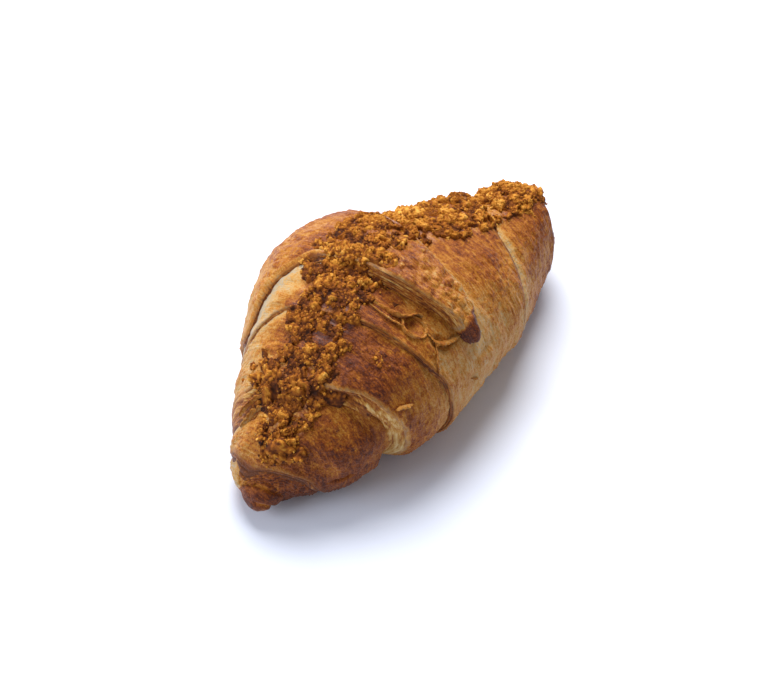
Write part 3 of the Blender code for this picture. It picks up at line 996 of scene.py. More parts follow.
@dataclass
class Turn:
    """One turn of dough: a closed shell with a cut, layered wall at each lip and the crust between them.

    Attributes:
        near: the lip, or the place of the plain end, towards -X.
        far: the lip, or the place of the plain end, towards +X.
        over: the lips at which it lies over another turn.
        below: the lips that cover it.
        tears: long gaps between the wall's layers: angle, half angle, depth and opening.
        dents: place along X, angle, half width, half angle and depth.
    """

    roll: Roll
    shift: Array
    name: str
    near: Lip | float
    far: Lip | float
    over: tuple[Lip, ...]
    seed: int
    crust_rings: int = 80
    wall_rings: int = 22
    lip_rings: int = 6
    steps: int = 440
    lip_radius: float = 0.9
    # how much longer than high the lip's rounding is
    lip_length: float = 1.4
    wall_extra: float = 1.6
    # the wall's layers: how thick, by how many of them noise bends them, the size of that noise and of each
    # layer's own, how far a ledge stands out and by the layer's own noise, how much paler that noise makes
    # it, and how much darker the dough is painted between two layers, as painted shade in the gaps
    layer: float = 0.7
    layer_bend: float = 0.8
    bend_size: tuple[float, float] = (60.0, 34.0)
    layer_length: float = 12.0
    layer_out: float = 0.42
    layer_own: float = 0.5
    layer_tone: float = 0.35
    painted_gap_shade: float = 0.2
    tear_depth: float = 1.9
    # how much darker the tears are painted: painted shade
    painted_tear_shade: float = 0.5
    tuck: float = 4.5
    tuck_depth: float = 3.2
    tuck_rings: int = 6
    axis_rings: int = 2
    axis_shares: tuple[float, float] = (0.8, 0.3)
    tears: tuple[tuple[float, float, float, float], ...] = ()
    dents: tuple[tuple[float, float, float, float, float], ...] = ()
    below: tuple[Lip, ...] = ()
    # the lip with fine ridges beside it: their height, spacing, reach and how much paler they baked
    ridged: Lip | None = None
    ridge: float = 0.22
    ridge_spacing: float = 1.0
    ridge_reach: float = 5.5
    ridge_tone: float = 0.45
    # how much darker the dents are painted: painted shade in the hollows
    painted_dent_shade: float = 0.08
    # the browning of covered dough, beside the top turn's near lip and elsewhere, and of the underside
    cream: float = -0.05
    straw: float = 0.12
    covered_share: float = 0.9
    foot_bake: float = 0.62
    foot_from: tuple[float, float] = (0.75, 0.95)
    # how much flatter the tray leaves the underside, and from where on
    foot_calm: float = 0.8
    calm_from: tuple[float, float] = (0.8, 0.98)
    deep_tone: float = 0.03

    def build(self) -> bpy.types.Object:
        """Lofts the rings from one end to the other, pushes their relief out and marks their browning.

        Returns:
            The turn's object.
        """
        angle = round_steps(self.steps)
        x, height, inwards, wall = self.profile(angle)
        angles = np.broadcast_to(angle, x.shape)
        own = self.roll.lift(x, angles, self.over)
        plain = self.roll.crust(x, angles, own + height, inwards)
        depth = -height
        wrap = self.roll.wrap(x, angles, depth)
        skin = (1 - wall) * np.clip(1 - depth / 2, 0, 1)
        relief = RELIEF.height(plain, wrap, self.seed) * skin
        layered, toasted = self.layers(wrap, angles)
        ridges = self.ridges(x, angles, wrap) * (1 - wall)
        hollows = self.hollows(x, angles)
        relief = relief + layered * wall + ridges - hollows
        under = ramp(-np.sin(np.radians(angles)), *self.calm_from)
        rings = above_floor(push_out(plain, relief * (1 - self.foot_calm * under) * (inwards == 0)))
        bake = BROWNING.value(self.roll, plain, x, angles, relief) + RELIEF.flake_tone(wrap, self.seed)
        # the dents are painted darker: painted shade
        bake = self.weather(bake + self.painted_dent_shade * hollows, x, angles, depth, wall)
        bake = bake + toasted * wall - self.ridge_tone * ridges
        glaze = BAND.glaze(x, angles)
        marks = {"bake": bake, "cut": wall, "glaze": glaze, "wrap": wrap}
        return closed_loft(self.name, rings + self.shift, marks)

    def profile(self, angle: Array) -> tuple[Array, Array, Array, Array]:
        """Works out the rings from -X to +X.

        Each edge is either a lip, a wall that rises from inside the turn below and rounds into the crust by
        a quarter circle, or a plain end, which dips under its neighbour and closes at the axis.

        Args:
            angle: the angles round the roll.

        Returns:
            Four (rings, steps) arrays: place along X, height above the turn's crust, share of the way to
            the axis, and 1 on the cut wall.
        """
        left = self.edge(self.near, -1, angle)
        right = self.edge(self.far, 1, angle)
        start, end = left[0][-1], right[0][-1]
        share = np.linspace(0, 1, self.crust_rings)[1:-1, None]
        x = blend(start, end, share)
        zero = np.zeros_like(x)
        middle = (x, zero, zero, zero)
        return tuple(np.concatenate([a, m, b[::-1]]) for a, m, b in zip(left, middle, right))

    def edge(self, bound: Lip | float, side: int, angle: Array) -> tuple[Array, Array, Array, Array]:
        """Returns one edge's rings, from the axis out to the crust."""
        if isinstance(bound, Lip) and bound in self.over:
            parts = self.cut_edge(bound, side, angle)
        else:
            dip = np.linspace(1, 0, self.tuck_rings)[:, None] if isinstance(bound, Lip) else np.zeros((1, 1))
            foot = self.roll.place(bound, angle) - side if isinstance(bound, Lip) else bound
            dip = dip * np.ones_like(angle)
            parts = (foot + side * self.tuck * dip, -self.tuck_depth * dip**2, np.zeros_like(dip))
        x, height, wall = (np.concatenate([part[:1].repeat(self.axis_rings, 0), part]) for part in parts)
        inwards = np.zeros_like(x)
        inwards[: self.axis_rings] = np.linspace(*self.axis_shares, self.axis_rings)[:, None]
        return x, height, inwards, wall

    def cut_edge(self, lip: Lip, side: int, angle: Array) -> tuple[Array, Array, Array]:
        """Returns a lip's rings, up its cut wall and round its rounding: place, height and 1 on the wall."""
        foot = self.roll.place(lip, angle)
        drop = self.roll.thickness(lip, angle) + self.wall_extra
        down = np.linspace(1, 0, self.wall_rings)[:, None]
        top = foot - side * self.roll.around(self.roll.lips[lip.value].run, angle)
        wall_x = blend(top, foot, down * (1 + self.wall_extra / drop))
        wall_height = -self.lip_radius - (drop - self.lip_radius) * down
        turn = np.linspace(0, math.pi / 2, self.lip_rings + 1)[1:, None] * np.ones_like(angle)
        lip_x = top - side * self.lip_radius * self.lip_length * (1 - np.cos(turn))
        lip_height = -self.lip_radius * (1 - np.sin(turn))
        wall = np.concatenate([np.ones_like(wall_x), np.cos(turn) * 0.8])
        return np.concatenate([wall_x, lip_x]), np.concatenate([wall_height, lip_height]), wall

    def layers(self, wrap: Array, angle: Array) -> tuple[Array, Array]:
        """Works out the wall's relief: each baked layer is a rounded ledge, further out here, less there.

        Long tears go in between layers, and each layer baked a little browner or paler than the next.

        Returns:
            The relief, and the extra browning with painted shade between layers and in the tears.
        """
        shape = (self.layer, self.layer_bend, self.bend_size, self.layer_length)
        ledge, own = ledges(wrap, *shape, self.seed + 40)
        torn = np.zeros_like(ledge)
        for middle, half, depth, opening in self.tears:
            along = np.exp(-(((angle - middle) / half) ** 2))
            torn += along * np.exp(-(((wrap[..., 2] - depth) / opening) ** 2))
        torn = np.clip(torn, 0, 1)
        relief = self.layer_out * ledge + self.layer_own * own - self.tear_depth * torn
        # painted shade: darker between two layers and in the tears
        return relief, self.painted_gap_shade * (1 - ledge) - self.layer_tone * own + self.painted_tear_shade * torn

    def ridges(self, x: Array, angle: Array, wrap: Array) -> Array:
        """Returns the ridges of stretched dough beside one lip: a sine of the distance, bent by noise."""
        if self.ridged is None:
            return np.zeros(x.shape)
        away = np.abs(x - self.roll.place(self.ridged, angle))
        bend = 0.5 * wrapped_noise(wrap, (40, 14), self.seed + 50)
        uneven = 0.6 + 0.8 * wrapped_noise(wrap, (5, 12), self.seed + 51)
        wave = np.sin(2 * math.pi * (away / self.ridge_spacing + bend))
        return self.ridge * uneven * wave * np.exp(-((away / self.ridge_reach) ** 2))

    def hollows(self, x: Array, angle: Array) -> Array:
        """Returns how deep the dents sink the crust: bells with a width along X and one round the roll."""
        total = np.zeros(x.shape)
        for middle_x, middle_angle, half_x, half_angle, depth in self.dents:
            bell = ((x - middle_x) / half_x) ** 2 + ((angle - middle_angle) / half_angle) ** 2
            total += depth * np.exp(-bell)
        return total

    def weather(self, bake: Array, x: Array, angle: Array, depth: Array, wall: Array) -> Array:
        """Pales the crust beside covering lips, browns its own edges and darkens what lies deep."""
        for lip in self.below:
            covered = self.cream if lip is Lip.NEAR_TOP else self.straw
            bake = blend(bake, covered, self.covered_share * paleness(self.roll, lip, x, angle))
        foot = ramp(-np.sin(np.radians(angle)), *self.foot_from)
        bake = blend(bake, self.foot_bake, foot)
        toast = np.zeros(x.shape)
        middle = (x[0] + x[-1]) / 2
        for bound, here in ((self.near, x < middle), (self.far, x >= middle)):
            if isinstance(bound, Lip):
                toast = np.where(here, self.roll.around(self.roll.lips[bound.value].toast, angle), toast)
        return blend(bake, np.clip(toast + self.deep_tone * depth, *WALL_BAKE), wall)


# ---------------------------------------------------------------- the tongue


@dataclass
class TongueTurn:
    """The last turn: wide and thick at the back, it narrows over the top to the tongue's blunt, burnt tip."""

    roll: Roll
    shift: Array
    name: str = "tongue_turn"
    start_angle: float = 262.0
    length_rings: int = 420
    top_steps: int = 90
    wall_steps: int = 22
    lip_steps: int = 5
    under_steps: int = 8
    lip_radius: float = 0.7
    root: float = 1.8
    # its layers, as for the other turns, with painted shade between two layers
    layer: float = 0.46
    layer_bend: float = 0.5
    bend_size: tuple[float, float] = (30.0, 16.0)
    layer_length: float = 9.0
    layer_out: float = 0.36
    layer_own: float = 0.42
    layer_tone: float = 0.34
    painted_gap_shade: float = 0.20
    wall_run: float = 1.8
    tip_dome: float = 0.5
    tip_from: float = 0.955
    knobs: float = 0.95
    knob_size: float = 3.6
    knob_tone: float = 0.10
    # the browning of the burnt tip, from which share of the length, and how much its edge slants
    burnt_bake: float = 0.80
    burnt_from: float = 0.925
    burnt_slant: float = 0.004
    # how dull the glaze is on the top
    glazed_top: float = 0.5
    # the browning of the walls at the back and in front, and how much browner each is for its depth
    wall_back: tuple[float, float] = (0.26, 0.04)
    wall_front: tuple[float, float] = (0.05, 0.03)
    # the browning of the rolled edge and of the pale flakes on top
    rolled_bake: float = 0.33
    flaky_bake: float = 0.08
    # the rolled edge at the back: how far in from the edge, half width, and height by the angle
    rolled_in: float = 1.7
    rolled_width: float = 1.2
    rolled_edge: tuple[tuple[float, float], ...] = (
        (98.0, 0.0), (110.0, 1.0), (124.0, 1.5), (140.0, 1.4), (154.0, 0.8), (175.0, 0.0),
    )
    seed: int = 300

    def build(self) -> bpy.types.Object:
        """Carries the cross section round the roll, from underneath over the top to the tip.

        Returns:
            The turn's object.
        """
        share = np.linspace(0, 1, self.length_rings)
        angle = blend(self.start_angle, self.roll.tongue_end, share)
        near, far, high = self.roll.tongue_edges(angle)
        beyond = np.clip((share - self.tip_from) / (1 - self.tip_from), 0, 1)
        tip = np.sqrt(np.clip(1 - beyond**2.2, 0, 1))
        x, height, wall, top = self.section(near, far, angle, high, tip)
        angles = np.broadcast_to(angle[:, None], x.shape)
        over = (Lip.NEAR_RIM, Lip.NEAR_THIRD, Lip.NEAR_SECOND, Lip.FAR_SECOND, Lip.FAR_RIM)
        below = self.roll.lift(x, angles, over)
        plain = self.roll.crust(x, angles, below + height)
        depth = top - height
        wrap = self.roll.wrap(x, angles, depth)
        hidden = ramp(-height, 0.0, 1.5)
        forward = 1 - ramp(angles, 76.0, 100.0)
        burnt = ramp(share, self.burnt_from, 0.95)[:, None]
        knobbly = caps(plain, self.knob_size, self.seed + 8) - 0.3
        knobbly = self.knobs * forward * (knobbly + 0.6 * turbulence(plain, 3.0, self.seed + 12))
        relief = (RELIEF.height(plain, wrap, self.seed) + knobbly) * (1 - wall) * (1 - 0.75 * burnt)
        layered, toasted = self.layers(wrap)
        relief = relief + layered * wall
        rings = above_floor(push_out(plain, relief * (1 - hidden)))
        bake = BROWNING.value(self.roll, plain, x, angles, relief) - self.knob_tone * knobbly
        bake = bake + RELIEF.flake_tone(wrap, self.seed)
        slant = share[:, None] + self.burnt_slant * (x - x.mean(1, keepdims=True))
        bake = blend(bake, self.rolled_bake, 0.8 * np.clip(self.rolled(x, near, angle), 0, 1))
        flaky = ramp(noise(plain, 1.1, self.seed + 9), 0.1, 0.5)
        flaky = flaky * ramp(noise(plain, 5.0, self.seed + 10), -0.3, 0.3)
        bake = blend(bake, self.flaky_bake, 0.7 * flaky * forward * ramp(x - near[:, None], 3.0, 6.0))
        bake = self.weather(bake, wall, depth, slant, angles) + toasted * wall * (1 - burnt)
        glazed_top = self.glazed_top * forward * (1 - wall) * (1 - burnt)
        glaze = np.maximum(BAND.glaze(x, angles), glazed_top)
        cut = wall * (1 - ramp(share, 0.93, 0.955))[:, None]
        marks = {"bake": bake, "cut": cut, "glaze": glaze, "wrap": wrap}
        return closed_loft(self.name, rings + self.shift, marks)

    def section(
        self, near: Array, far: Array, angle: Array, high: Array, tip: Array
    ) -> tuple[Array, Array, Array, Array]:
        """Works out the closed cross section at every angle.

        It goes up the near wall, round the lip by a quarter circle, across the top, down the far wall and
        back along the underside, which lies inside the turn below.

        Args:
            near: the near edge along X.
            far: the far edge along X.
            angle: the angles.
            high: the tongue's height above the turn below.
            tip: 1, falling to 0 at the very end, which closes it.

        Returns:
            (rings, points) arrays: place along X, height above the turn below, 1 on a cut wall, and the
            height of the top.
        """
        r = self.lip_radius
        up = np.linspace(0, 1, self.wall_steps)
        turn = np.linspace(0, math.pi / 2, self.lip_steps + 1)[1:]
        across = np.linspace(0, 1, self.top_steps)[1:-1]
        back = np.linspace(1, 0, self.under_steps)[1:-1]
        lip_x, lip_height = r * (1 - np.cos(turn)), -r * (1 - np.sin(turn))
        # each stretch: u, 0 at the near edge and 1 at the far one, the step along X from there, v, 0 at the
        # root and 1 at the top, the step up from there, and how much it is a cut wall
        stretches = (
            (up * 0, self.wall_run * (up - 1), up, -r * up, 1.0),
            (turn * 0, lip_x, 1.0, lip_height, 0.8 * np.cos(turn)),
            (across, r * (1 - 2 * across), 1.0, 0.0, 0.0),
            (1.0, -lip_x[::-1], 1.0, lip_height[::-1], 0.3 * np.cos(turn[::-1])),
            (1.0, self.wall_run * (1 - up[::-1]), up[::-1], -r * up[::-1], 0.4),
            (back, 0.0, 0.0, 0.0, 0.0),
        )
        whole = np.concatenate([np.stack(np.broadcast_arrays(*stretch)) for stretch in stretches], axis=1)
        u, offset_x, v, offset_h, is_wall = whole
        middle, half = (near + far)[:, None] / 2, (far - near)[:, None] / 2
        keep = blend(0.25, 1.0, tip[:, None])
        x = middle + (half * (2 * u - 1) + offset_x) * keep
        swell = 0.0
        for lip in (Lip.NEAR_TOP, Lip.FAR_TOP):
            away = np.abs(x - self.roll.place(lip, angle[:, None]))
            swell = swell + self.roll.thickness(lip, angle[:, None]) * np.exp(-away / self.roll.lip_fade)
        top = (high[:, None] + swell + self.rolled(x, near, angle)) * blend(0.2, 1.0, tip[:, None])
        dome = self.tip_dome * ramp(self.roll.tongue_end + 26.0 - angle, 0.0, 22.0)
        top = top * (1 - dome[:, None] * (2 * u - 1) ** 2)
        height = blend(-self.root, top, v) + offset_h
        wall = np.broadcast_to(is_wall, x.shape)
        return x, height, wall, np.broadcast_to(top, x.shape)

    def rolled(self, x: Array, near: Array, angle: Array) -> Array:
        """Returns how high the near edge curls up into a cord: a bell beside the edge."""
        table = np.array(self.rolled_edge).T
        high = np.interp(angle, table[0], table[1])[:, None]
        return high * np.exp(-(((x - near[:, None] - self.rolled_in) / self.rolled_width) ** 2))

    def layers(self, wrap: Array) -> tuple[Array, Array]:
        """Returns the wall's relief, ledges like the other turns' but finer, and its extra browning with
        painted shade.
        """
        shape = (self.layer, self.layer_bend, self.bend_size, self.layer_length)
        ledge, own = ledges(wrap, *shape, self.seed + 40)
        relief = self.layer_out * ledge + self.layer_own * own
        # painted shade: darker between two layers
        return relief, self.painted_gap_shade * (1 - ledge) - self.layer_tone * own

    def weather(self, bake: Array, wall: Array, depth: Array, share: Array, angle: Array) -> Array:
        """Browns the walls by how far forward they are, and burns the tip."""
        forward = 1 - ramp(angle, 80.0, 120.0)
        back, front = (bake_at + by_depth * depth for bake_at, by_depth in (self.wall_back, self.wall_front))
        inside = blend(back, front, forward)
        bake = blend(bake, np.clip(inside, *WALL_BAKE), wall)
        return blend(bake, self.burnt_bake, ramp(share, self.burnt_from, 0.945))


# ---------------------------------------------------------------- tips and flakes


@dataclass
class TwistedTip:
    """The end of the dough, twisted to a blunt point that dips to the tray and bakes darkest."""

    shift: Array
    name: str = "twisted_tip"
    centre: tuple[float, float, float] = (-63.4, -1.0, 9.4)
    radii: tuple[float, float, float] = (9.0, 7.0, 6.0)
    dip: float = 24.0
    rings: int = 90
    steps: int = 130
    folds: int = 2
    twist: float = 1.6
    fold_depth: float = 0.9
    fold_sharpness: float = 14.0
    # its lumps and grain: amount and size
    lump: tuple[float, float] = (0.5, 5.0)
    grain: tuple[float, float] = (0.15, 1.4)
    bake: float = 0.70
    uneven_bake: tuple[float, float] = (0.14, 6.0)
    fold_tone: float = 0.12
    seed: int = 400

    def build(self) -> bpy.types.Object:
        """Makes an ellipsoid by latitude and longitude, with spiral folds pressed into it.

        A fold is the cosine of the angle round the axis plus the twist times the place along it, to a high
        power.

        Returns:
            The tip's object.
        """
        along, angle = np.meshgrid(
            np.linspace(-0.999, 0.999, self.rings), np.linspace(0, 2 * math.pi, self.steps, endpoint=False),
            indexing="ij",
        )
        swell = (1 - np.abs(along) ** 2.4) ** 0.5
        unit = np.stack([-along, swell * np.cos(angle), swell * np.sin(angle)], -1) * np.array(self.radii)
        spiral = self.folds * angle / 2 + self.twist * math.pi * along
        fold = -self.fold_depth * np.abs(np.cos(spiral)) ** self.fold_sharpness * swell
        wrap = np.stack([unit[..., 0], angle * self.radii[1], fold], -1)
        relief = fold
        for number, (amount, size) in enumerate((self.lump, self.grain)):
            relief = relief + amount * noise(unit, size, self.seed + number)
        rings = push_out(unit, relief)
        dipped = np.array(Matrix.Rotation(-math.radians(self.dip), 3, "Y"))
        placed = above_floor(rings @ dipped.T + np.array(self.centre))
        amount, size = self.uneven_bake
        bake = self.bake + amount * noise(unit, size, self.seed + 2) - self.fold_tone * (fold < -0.3)
        marks = {"bake": bake, "cut": np.zeros_like(bake), "glaze": np.zeros_like(bake), "wrap": wrap}
        return closed_loft(self.name, placed + self.shift, marks)


@dataclass(frozen=True)
class Leaf:
    """One torn leaf of dough, baked where it stands.

    Attributes:
        path: where its foot runs: place along X and angle.
        rise: how far its free edge stands out of the crust at its highest.
        lean: how far the free edge lies from the foot, along X and in degrees.
        bake: its browning, 0 cream to 1 burnt.
        thickness: how thick it is.
    """

    path: tuple[tuple[float, float], ...]
    rise: float
    lean: tuple[float, float]
    bake: float = 0.25
    thickness: float = 0.5
    along: int = 110
    across: int = 12
    root: float = 0.9
    # the free edge: how ragged, and the number of its large and small rags; the sheet's own waves
    ragged: float = 0.75
    rags: tuple[int, int] = (9, 30)
    wave: tuple[float, float] = (0.12, 1.6)

    def points(self, roll: Roll, seed: int) -> tuple[Array, Array]:
        """Works out both faces of the leaf.

        Its section rises from the foot as the sine of a quarter turn and leans over as the square of the way
        up; its free edge is ragged, and at both ends it sinks back into the crust.

        Returns:
            (along, 2 * across, 3) positions, and their places along X, round the roll and in depth.
        """
        at = np.linspace(0, 1, len(self.path))
        t = np.linspace(0, 1, self.along)[:, None]
        up = np.linspace(0, 1, self.across)[None]
        foot_x, foot_angle = (smooth(at, np.array(self.path)[:, k], t) for k in (0, 1))
        full = np.clip(4 * t * (1 - t), 0, 1) ** 0.5
        large, small = (
            noise(np.stack([t * count, t * 0 + seed, t * 0], -1), 1.0, 61 + number)
            for number, count in enumerate(self.rags)
        )
        torn = large + 0.5 * small
        rise = self.rise * full * (1 + self.ragged * torn)
        x = foot_x + self.lean[0] * full * up**2
        angle = foot_angle + self.lean[1] * full * up**2
        height = blend(-self.root, rise, np.sin(up * math.pi / 2))
        sheet = roll.crust(x, angle, roll.outer_lift(x, angle) + height)
        normal = normalised(np.cross(np.gradient(sheet, axis=0), np.gradient(sheet, axis=1)))
        half = self.thickness / 2 * np.sqrt(np.clip(1 - up**6, 0.08, 1)) * np.clip(full, 0.15, 1)
        amount, size = self.wave
        waved = sheet + (amount * noise(sheet, size, seed))[..., None] * normal
        front, back = waved + normal * half[..., None], waved - normal * half[..., None]
        wrap = roll.wrap(x, angle, -height)
        return np.concatenate([front, back[:, ::-1]], 1), np.concatenate([wrap, wrap[:, ::-1]], 1)

    def build(self, name: str, roll: Roll, shift: Array, seed: int) -> bpy.types.Object:
        """Makes the leaf's closed shell."""
        rings, wrap = self.points(roll, seed)
        bake = self.bake + 0.14 * noise(rings, 3.0, seed) - 0.08 * np.clip(wrap[..., 2], -2, 0)
        marks = {"bake": bake, "cut": np.full(bake.shape, 0.1), "glaze": bake * 0, "wrap": wrap}
        return closed_loft(name, rings + shift, marks)


LEAVES = (
    Leaf(
        ((-14.7, 84), (-14.2, 75), (-13.4, 68), (-11.4, 63), (-8.2, 60), (-6.8, 56)),
        1.3, (1.0, -2.0), 0.36, 0.6,
    ),
    Leaf(((-15.4, 80), (-15.4, 72), (-14.8, 66), (-14.0, 61)), 0.7, (-0.6, -1.0), 0.34, 0.5),
    Leaf(
        ((-12.4, 63), (-14.4, 60), (-14.5, 55), (-12.6, 50), (-9.8, 50), (-8.4, 54), (-9.0, 60)),
        0.9, (0.5, -0.8), 0.38, 0.35,
    ),
    Leaf(((-9.6, 52), (-9.2, 45), (-7.2, 40), (-4.0, 37), (0.5, 35)), 0.9, (-0.8, -1.6), 0.36, 0.4),
    Leaf(((-8.9, 43), (-10.9, 38), (-12.8, 33), (-14.2, 27)), 0.7, (-0.9, -0.5), 0.42, 0.4),
    Leaf(((-31.0, 28), (-29.4, 28), (-27.6, 26), (-25.8, 24)), 0.9, (-0.6, -1.2), 0.34, 0.3),
    Leaf(((-60.4, 132), (-58.1, 123), (-55.5, 115), (-53.6, 107)), 1.4, (-1.2, 1.0), 0.24, 0.4),
    Leaf(((-58.6, 134), (-56.4, 126), (-53.9, 117), (-52.0, 109)), 0.9, (-0.8, 0.6), 0.38, 0.5),
    Leaf(((-2.2, 6), (-0.8, 4), (1.2, 3)), 0.6, (0.6, -1.0), 0.3, 0.3),
    Leaf(((11.4, 72), (11.0, 66), (11.2, 59), (10.6, 52), (10.2, 46)), 0.5, (1.4, 0.0), 0.16, 0.3),
    Leaf(((-11.6, 110), (-12.8, 119), (-16.0, 127), (-19.5, 134)), 0.6, (-0.8, 0.0), 0.26, 0.4),
)


# ---------------------------------------------------------------- crumble


def ball(rows: int, columns: int) -> tuple[Array, list[Array]]:
    """Returns the points of a unit ball by latitude and longitude, and its faces, outwards."""
    bm = bmesh.new()
    bmesh.ops.create_uvsphere(bm, u_segments=columns, v_segments=rows, radius=1.0)
    points = np.array([v.co for v in bm.verts])
    bm.verts.index_update()
    faces = [[v.index for v in f.verts] for f in bm.faces]
    bm.free()
    alike = ([f for f in faces if len(f) == corners] for corners in (3, 4))
    return points, [np.array(group) for group in alike if group]


def turned_at_random(count: int, rng: np.random.Generator) -> Array:
    """Returns (count, 3, 3) random rotations, from unit quaternions."""
    q = rng.normal(size=(count, 4))
    w, x, y, z = (q / np.linalg.norm(q, axis=1, keepdims=True)).T
    rows = (
        (1 - 2 * (y * y + z * z), 2 * (x * y - z * w), 2 * (x * z + y * w)),
        (2 * (x * y + z * w), 1 - 2 * (x * x + z * z), 2 * (y * z - x * w)),
        (2 * (x * z - y * w), 2 * (y * z + x * w), 1 - 2 * (x * x + y * y)),
    )
    return np.stack([np.stack(row, -1) for row in rows], 1)


@dataclass
class Crumble:
    """The crumble: clumps of several lumps each, covered in grains, and loose grains between them."""

    roll: Roll
    shift: Array
    clumps: tuple[tuple[float, float, float], ...] = (
        # place along X, angle, radius
        (-60, 60, 4.8), (-62, 78, 3.0), (-56, 72, 3.6), (-59, 92, 3.4), (-53, 91, 4.0), (-49, 86, 4.0),
        (-47, 111, 4.6), (-47, 72, 3.4), (-52, 64, 2.8), (-46, 136, 2.6), (-45, 126, 2.4), (-49, 122, 2.2),
        (-42, 78, 3.2), (-39, 78, 2.4), (-46, 95, 3.4), (-37, 92, 3.4), (-34, 82, 3.8), (-30, 79, 3.2),
        (-39, 105, 3.4), (-34, 104, 4.0), (-29, 98, 4.4), (-24, 87, 3.4), (-22, 82, 3.4), (-26, 106, 2.6),
        (-19, 102, 3.4), (-16, 108, 2.4), (-16, 100, 3.4), (-18, 89, 3.8), (-10, 98, 4.0),
        (-8, 96, 3.6), (-7, 91, 3.6), (-6, 86, 3.0), (-9, 103, 3.2), (-61, 55, 4.6), (-60, 91, 3.6),
        (-61.5, 50, 2.8), (-58, 61, 3.4), (-63, 62, 3.2), (-60, 84, 3.0), (-59, 98, 2.8), (-56, 66, 2.6),
        (-53.5, 89, 4.8), (-52, 64, 3.6), (-47, 70, 3.8), (-50, 108, 4.0), (-64, 66, 2.6), (-57, 80, 3.0),
        (-14, 116, 2.4), (-17, 112, 2.8), (-8.4, 110, 3.0), (-7.6, 105, 3.2), (-6.8, 100, 3.4),
        (-6.3, 96, 3.4), (-5.6, 91, 3.2), (18, 119, 4.0), (16.5, 110, 4.2), (16, 103, 3.8), (15.5, 95, 3.0),
        (15, 88, 2.2),
        (-11, 88, 3.6), (-7, 84, 3.2), (-5, 94, 3.8), (-2, 90, 3.8), (0, 83, 3.2), (5, 88, 3.6),
        (10, 104, 5.0), (12, 117, 3.6), (3, 114, 3.4), (1, 105, 3.8), (-5, 109, 3.0), (-10, 106, 3.2),
        (5, 94, 3.6), (11, 89, 2.4), (17, 96, 2.6), (20, 103, 3.0), (25, 88, 2.6), (24, 99, 4.2),
        (29, 102, 4.2), (27, 112, 4.6), (21, 111, 3.8), (35, 103, 4.4), (37, 113, 3.6), (33, 90, 3.0),
        (38, 84, 2.8), (42, 104, 3.8), (43, 115, 3.6), (45, 93, 3.0), (44, 81, 2.8), (49, 114, 4.2),
        (53, 112, 4.4),
        (51, 79, 3.4), (52, 92, 4.4), (57, 68, 2.8), (57, 82, 4.8), (60, 112, 4.6), (60, 97, 4.6),
        (64, 104, 3.6), (65, 92, 4.8), (65.5, 82, 4.6), (64, 72, 3.4), (50, 94, 3.0), (22, 122, 4.0),
        (28, 124, 4.4), (34, 124, 4.4), (40, 125, 4.2), (45, 125, 3.6), (55, 127, 4.2), (61, 124, 4.2),
    )
    lumps: tuple[int, int] = (3, 6)
    # hollows where the glazed crust shows: place along X, angle, radius
    pits: tuple[tuple[float, float, float], ...] = (
        (-24.3, 94, 2.3), (-32.5, 92, 2), (-52, 77, 2), (5.4, 99, 1.6), (-53.5, 58, 1.5), (-63.5, 90, 1.6),
        (-3.5, 107, 1.5), (29.4, 103, 1.6), (47.5, 90, 2.6), (50, 82, 2.2), (46.5, 112, 2.0), (38, 97, 1.5),
        (-44, 104, 1.6), (-56.5, 84, 1.5), (-37, 98, 1.4), (22.5, 106, 1.4), (49.5, 102, 1.8), (-42, 86, 1.3),
        (-12.5, 93, 1.3),
    )
    # a clump up to this radius splits into two lumps, a larger one into more
    small_clump: float = 2.6
    # a lump's radius, spread and rise as shares of its clump's radius, and how flat the clump lies
    lump_size: tuple[float, float] = (0.42, 0.88)
    lump_spread: float = 0.42
    flatness: float = 0.55
    rise: float = 0.48
    mound: float = 0.20
    crags: float = 0.34
    bed_steps: tuple[int, int] = (560, 150)
    bed_across: float = 1.5
    bed_thickness: float = 0.6
    bed_sinks: float = 1.8
    # the bed's domes: height, cell size and seed
    crumb_domes: tuple[tuple[float, float, int], ...] = ((1.0, 3.4, 74), (0.6, 1.5, 75), (0.36, 0.75, 76))
    # millimetres round the roll for each radian, near its top
    top_radius: float = 32.0
    # browning: of the bed's lowest crumbs, less by height, which paints shade into the bed's hollows, of a
    # lump, more where it faces the crust, which is painted shade, less on its domes, which is painted light
    # on the tops and painted shade between them, and of a grain as a share of what lies under it, so that the
    # grains take on that painted light and shade
    bed_toast: float = 1.07
    painted_shade_by_height: float = 0.40
    lump_toast: float = 0.44
    painted_shade_facing_crust: float = 0.5
    painted_light_by_dome: float = 0.85
    grain_share: float = 0.66
    grain_range: tuple[float, float] = (-0.09, 0.42)
    # a lump's form: how lopsided, its size before its domes, and the domes' height, cell size and seed
    lopsided: float = 0.32
    lump_core: float = 0.86
    lump_domes: tuple[tuple[float, float, int], ...] = ((0.45, 1.4, 9), (0.32, 0.85, 10))
    # the height of the roll's middle, from which a lump's top is told from its underside
    middle_height: float = 22.0
    core_steps: tuple[tuple[float, int, int], ...] = ((2.4, 20, 32), (1.6, 16, 24), (0.0, 12, 18))
    # each kind: name, count, smallest and largest radius, and faces from pole to pole and round
    kinds: tuple[tuple[str, int, float, float, int, int], ...] = (
        ("crumble_nuggets", 260, 0.45, 0.85, 7, 10),
        ("crumble_grains", 9900, 0.20, 0.44, 3, 5),
        ("crumble_fine_grains", 12400, 0.13, 0.28, 3, 4),
    )
    # how far out a grain sits, as a share of its size, and how near a lump's middle none may lie, as a share
    # of the lump's radius
    grain_out: float = 0.25
    inner_share: float = 0.8
    loose_grains: int = 900
    loose_size: tuple[float, float] = (0.28, 0.8)
    stray: tuple[tuple[float, float, int], ...] = ((-26.0, 57.0, 16), (-46.0, 150.0, 6), (13.0, 84.0, 10))
    seed: int = 21

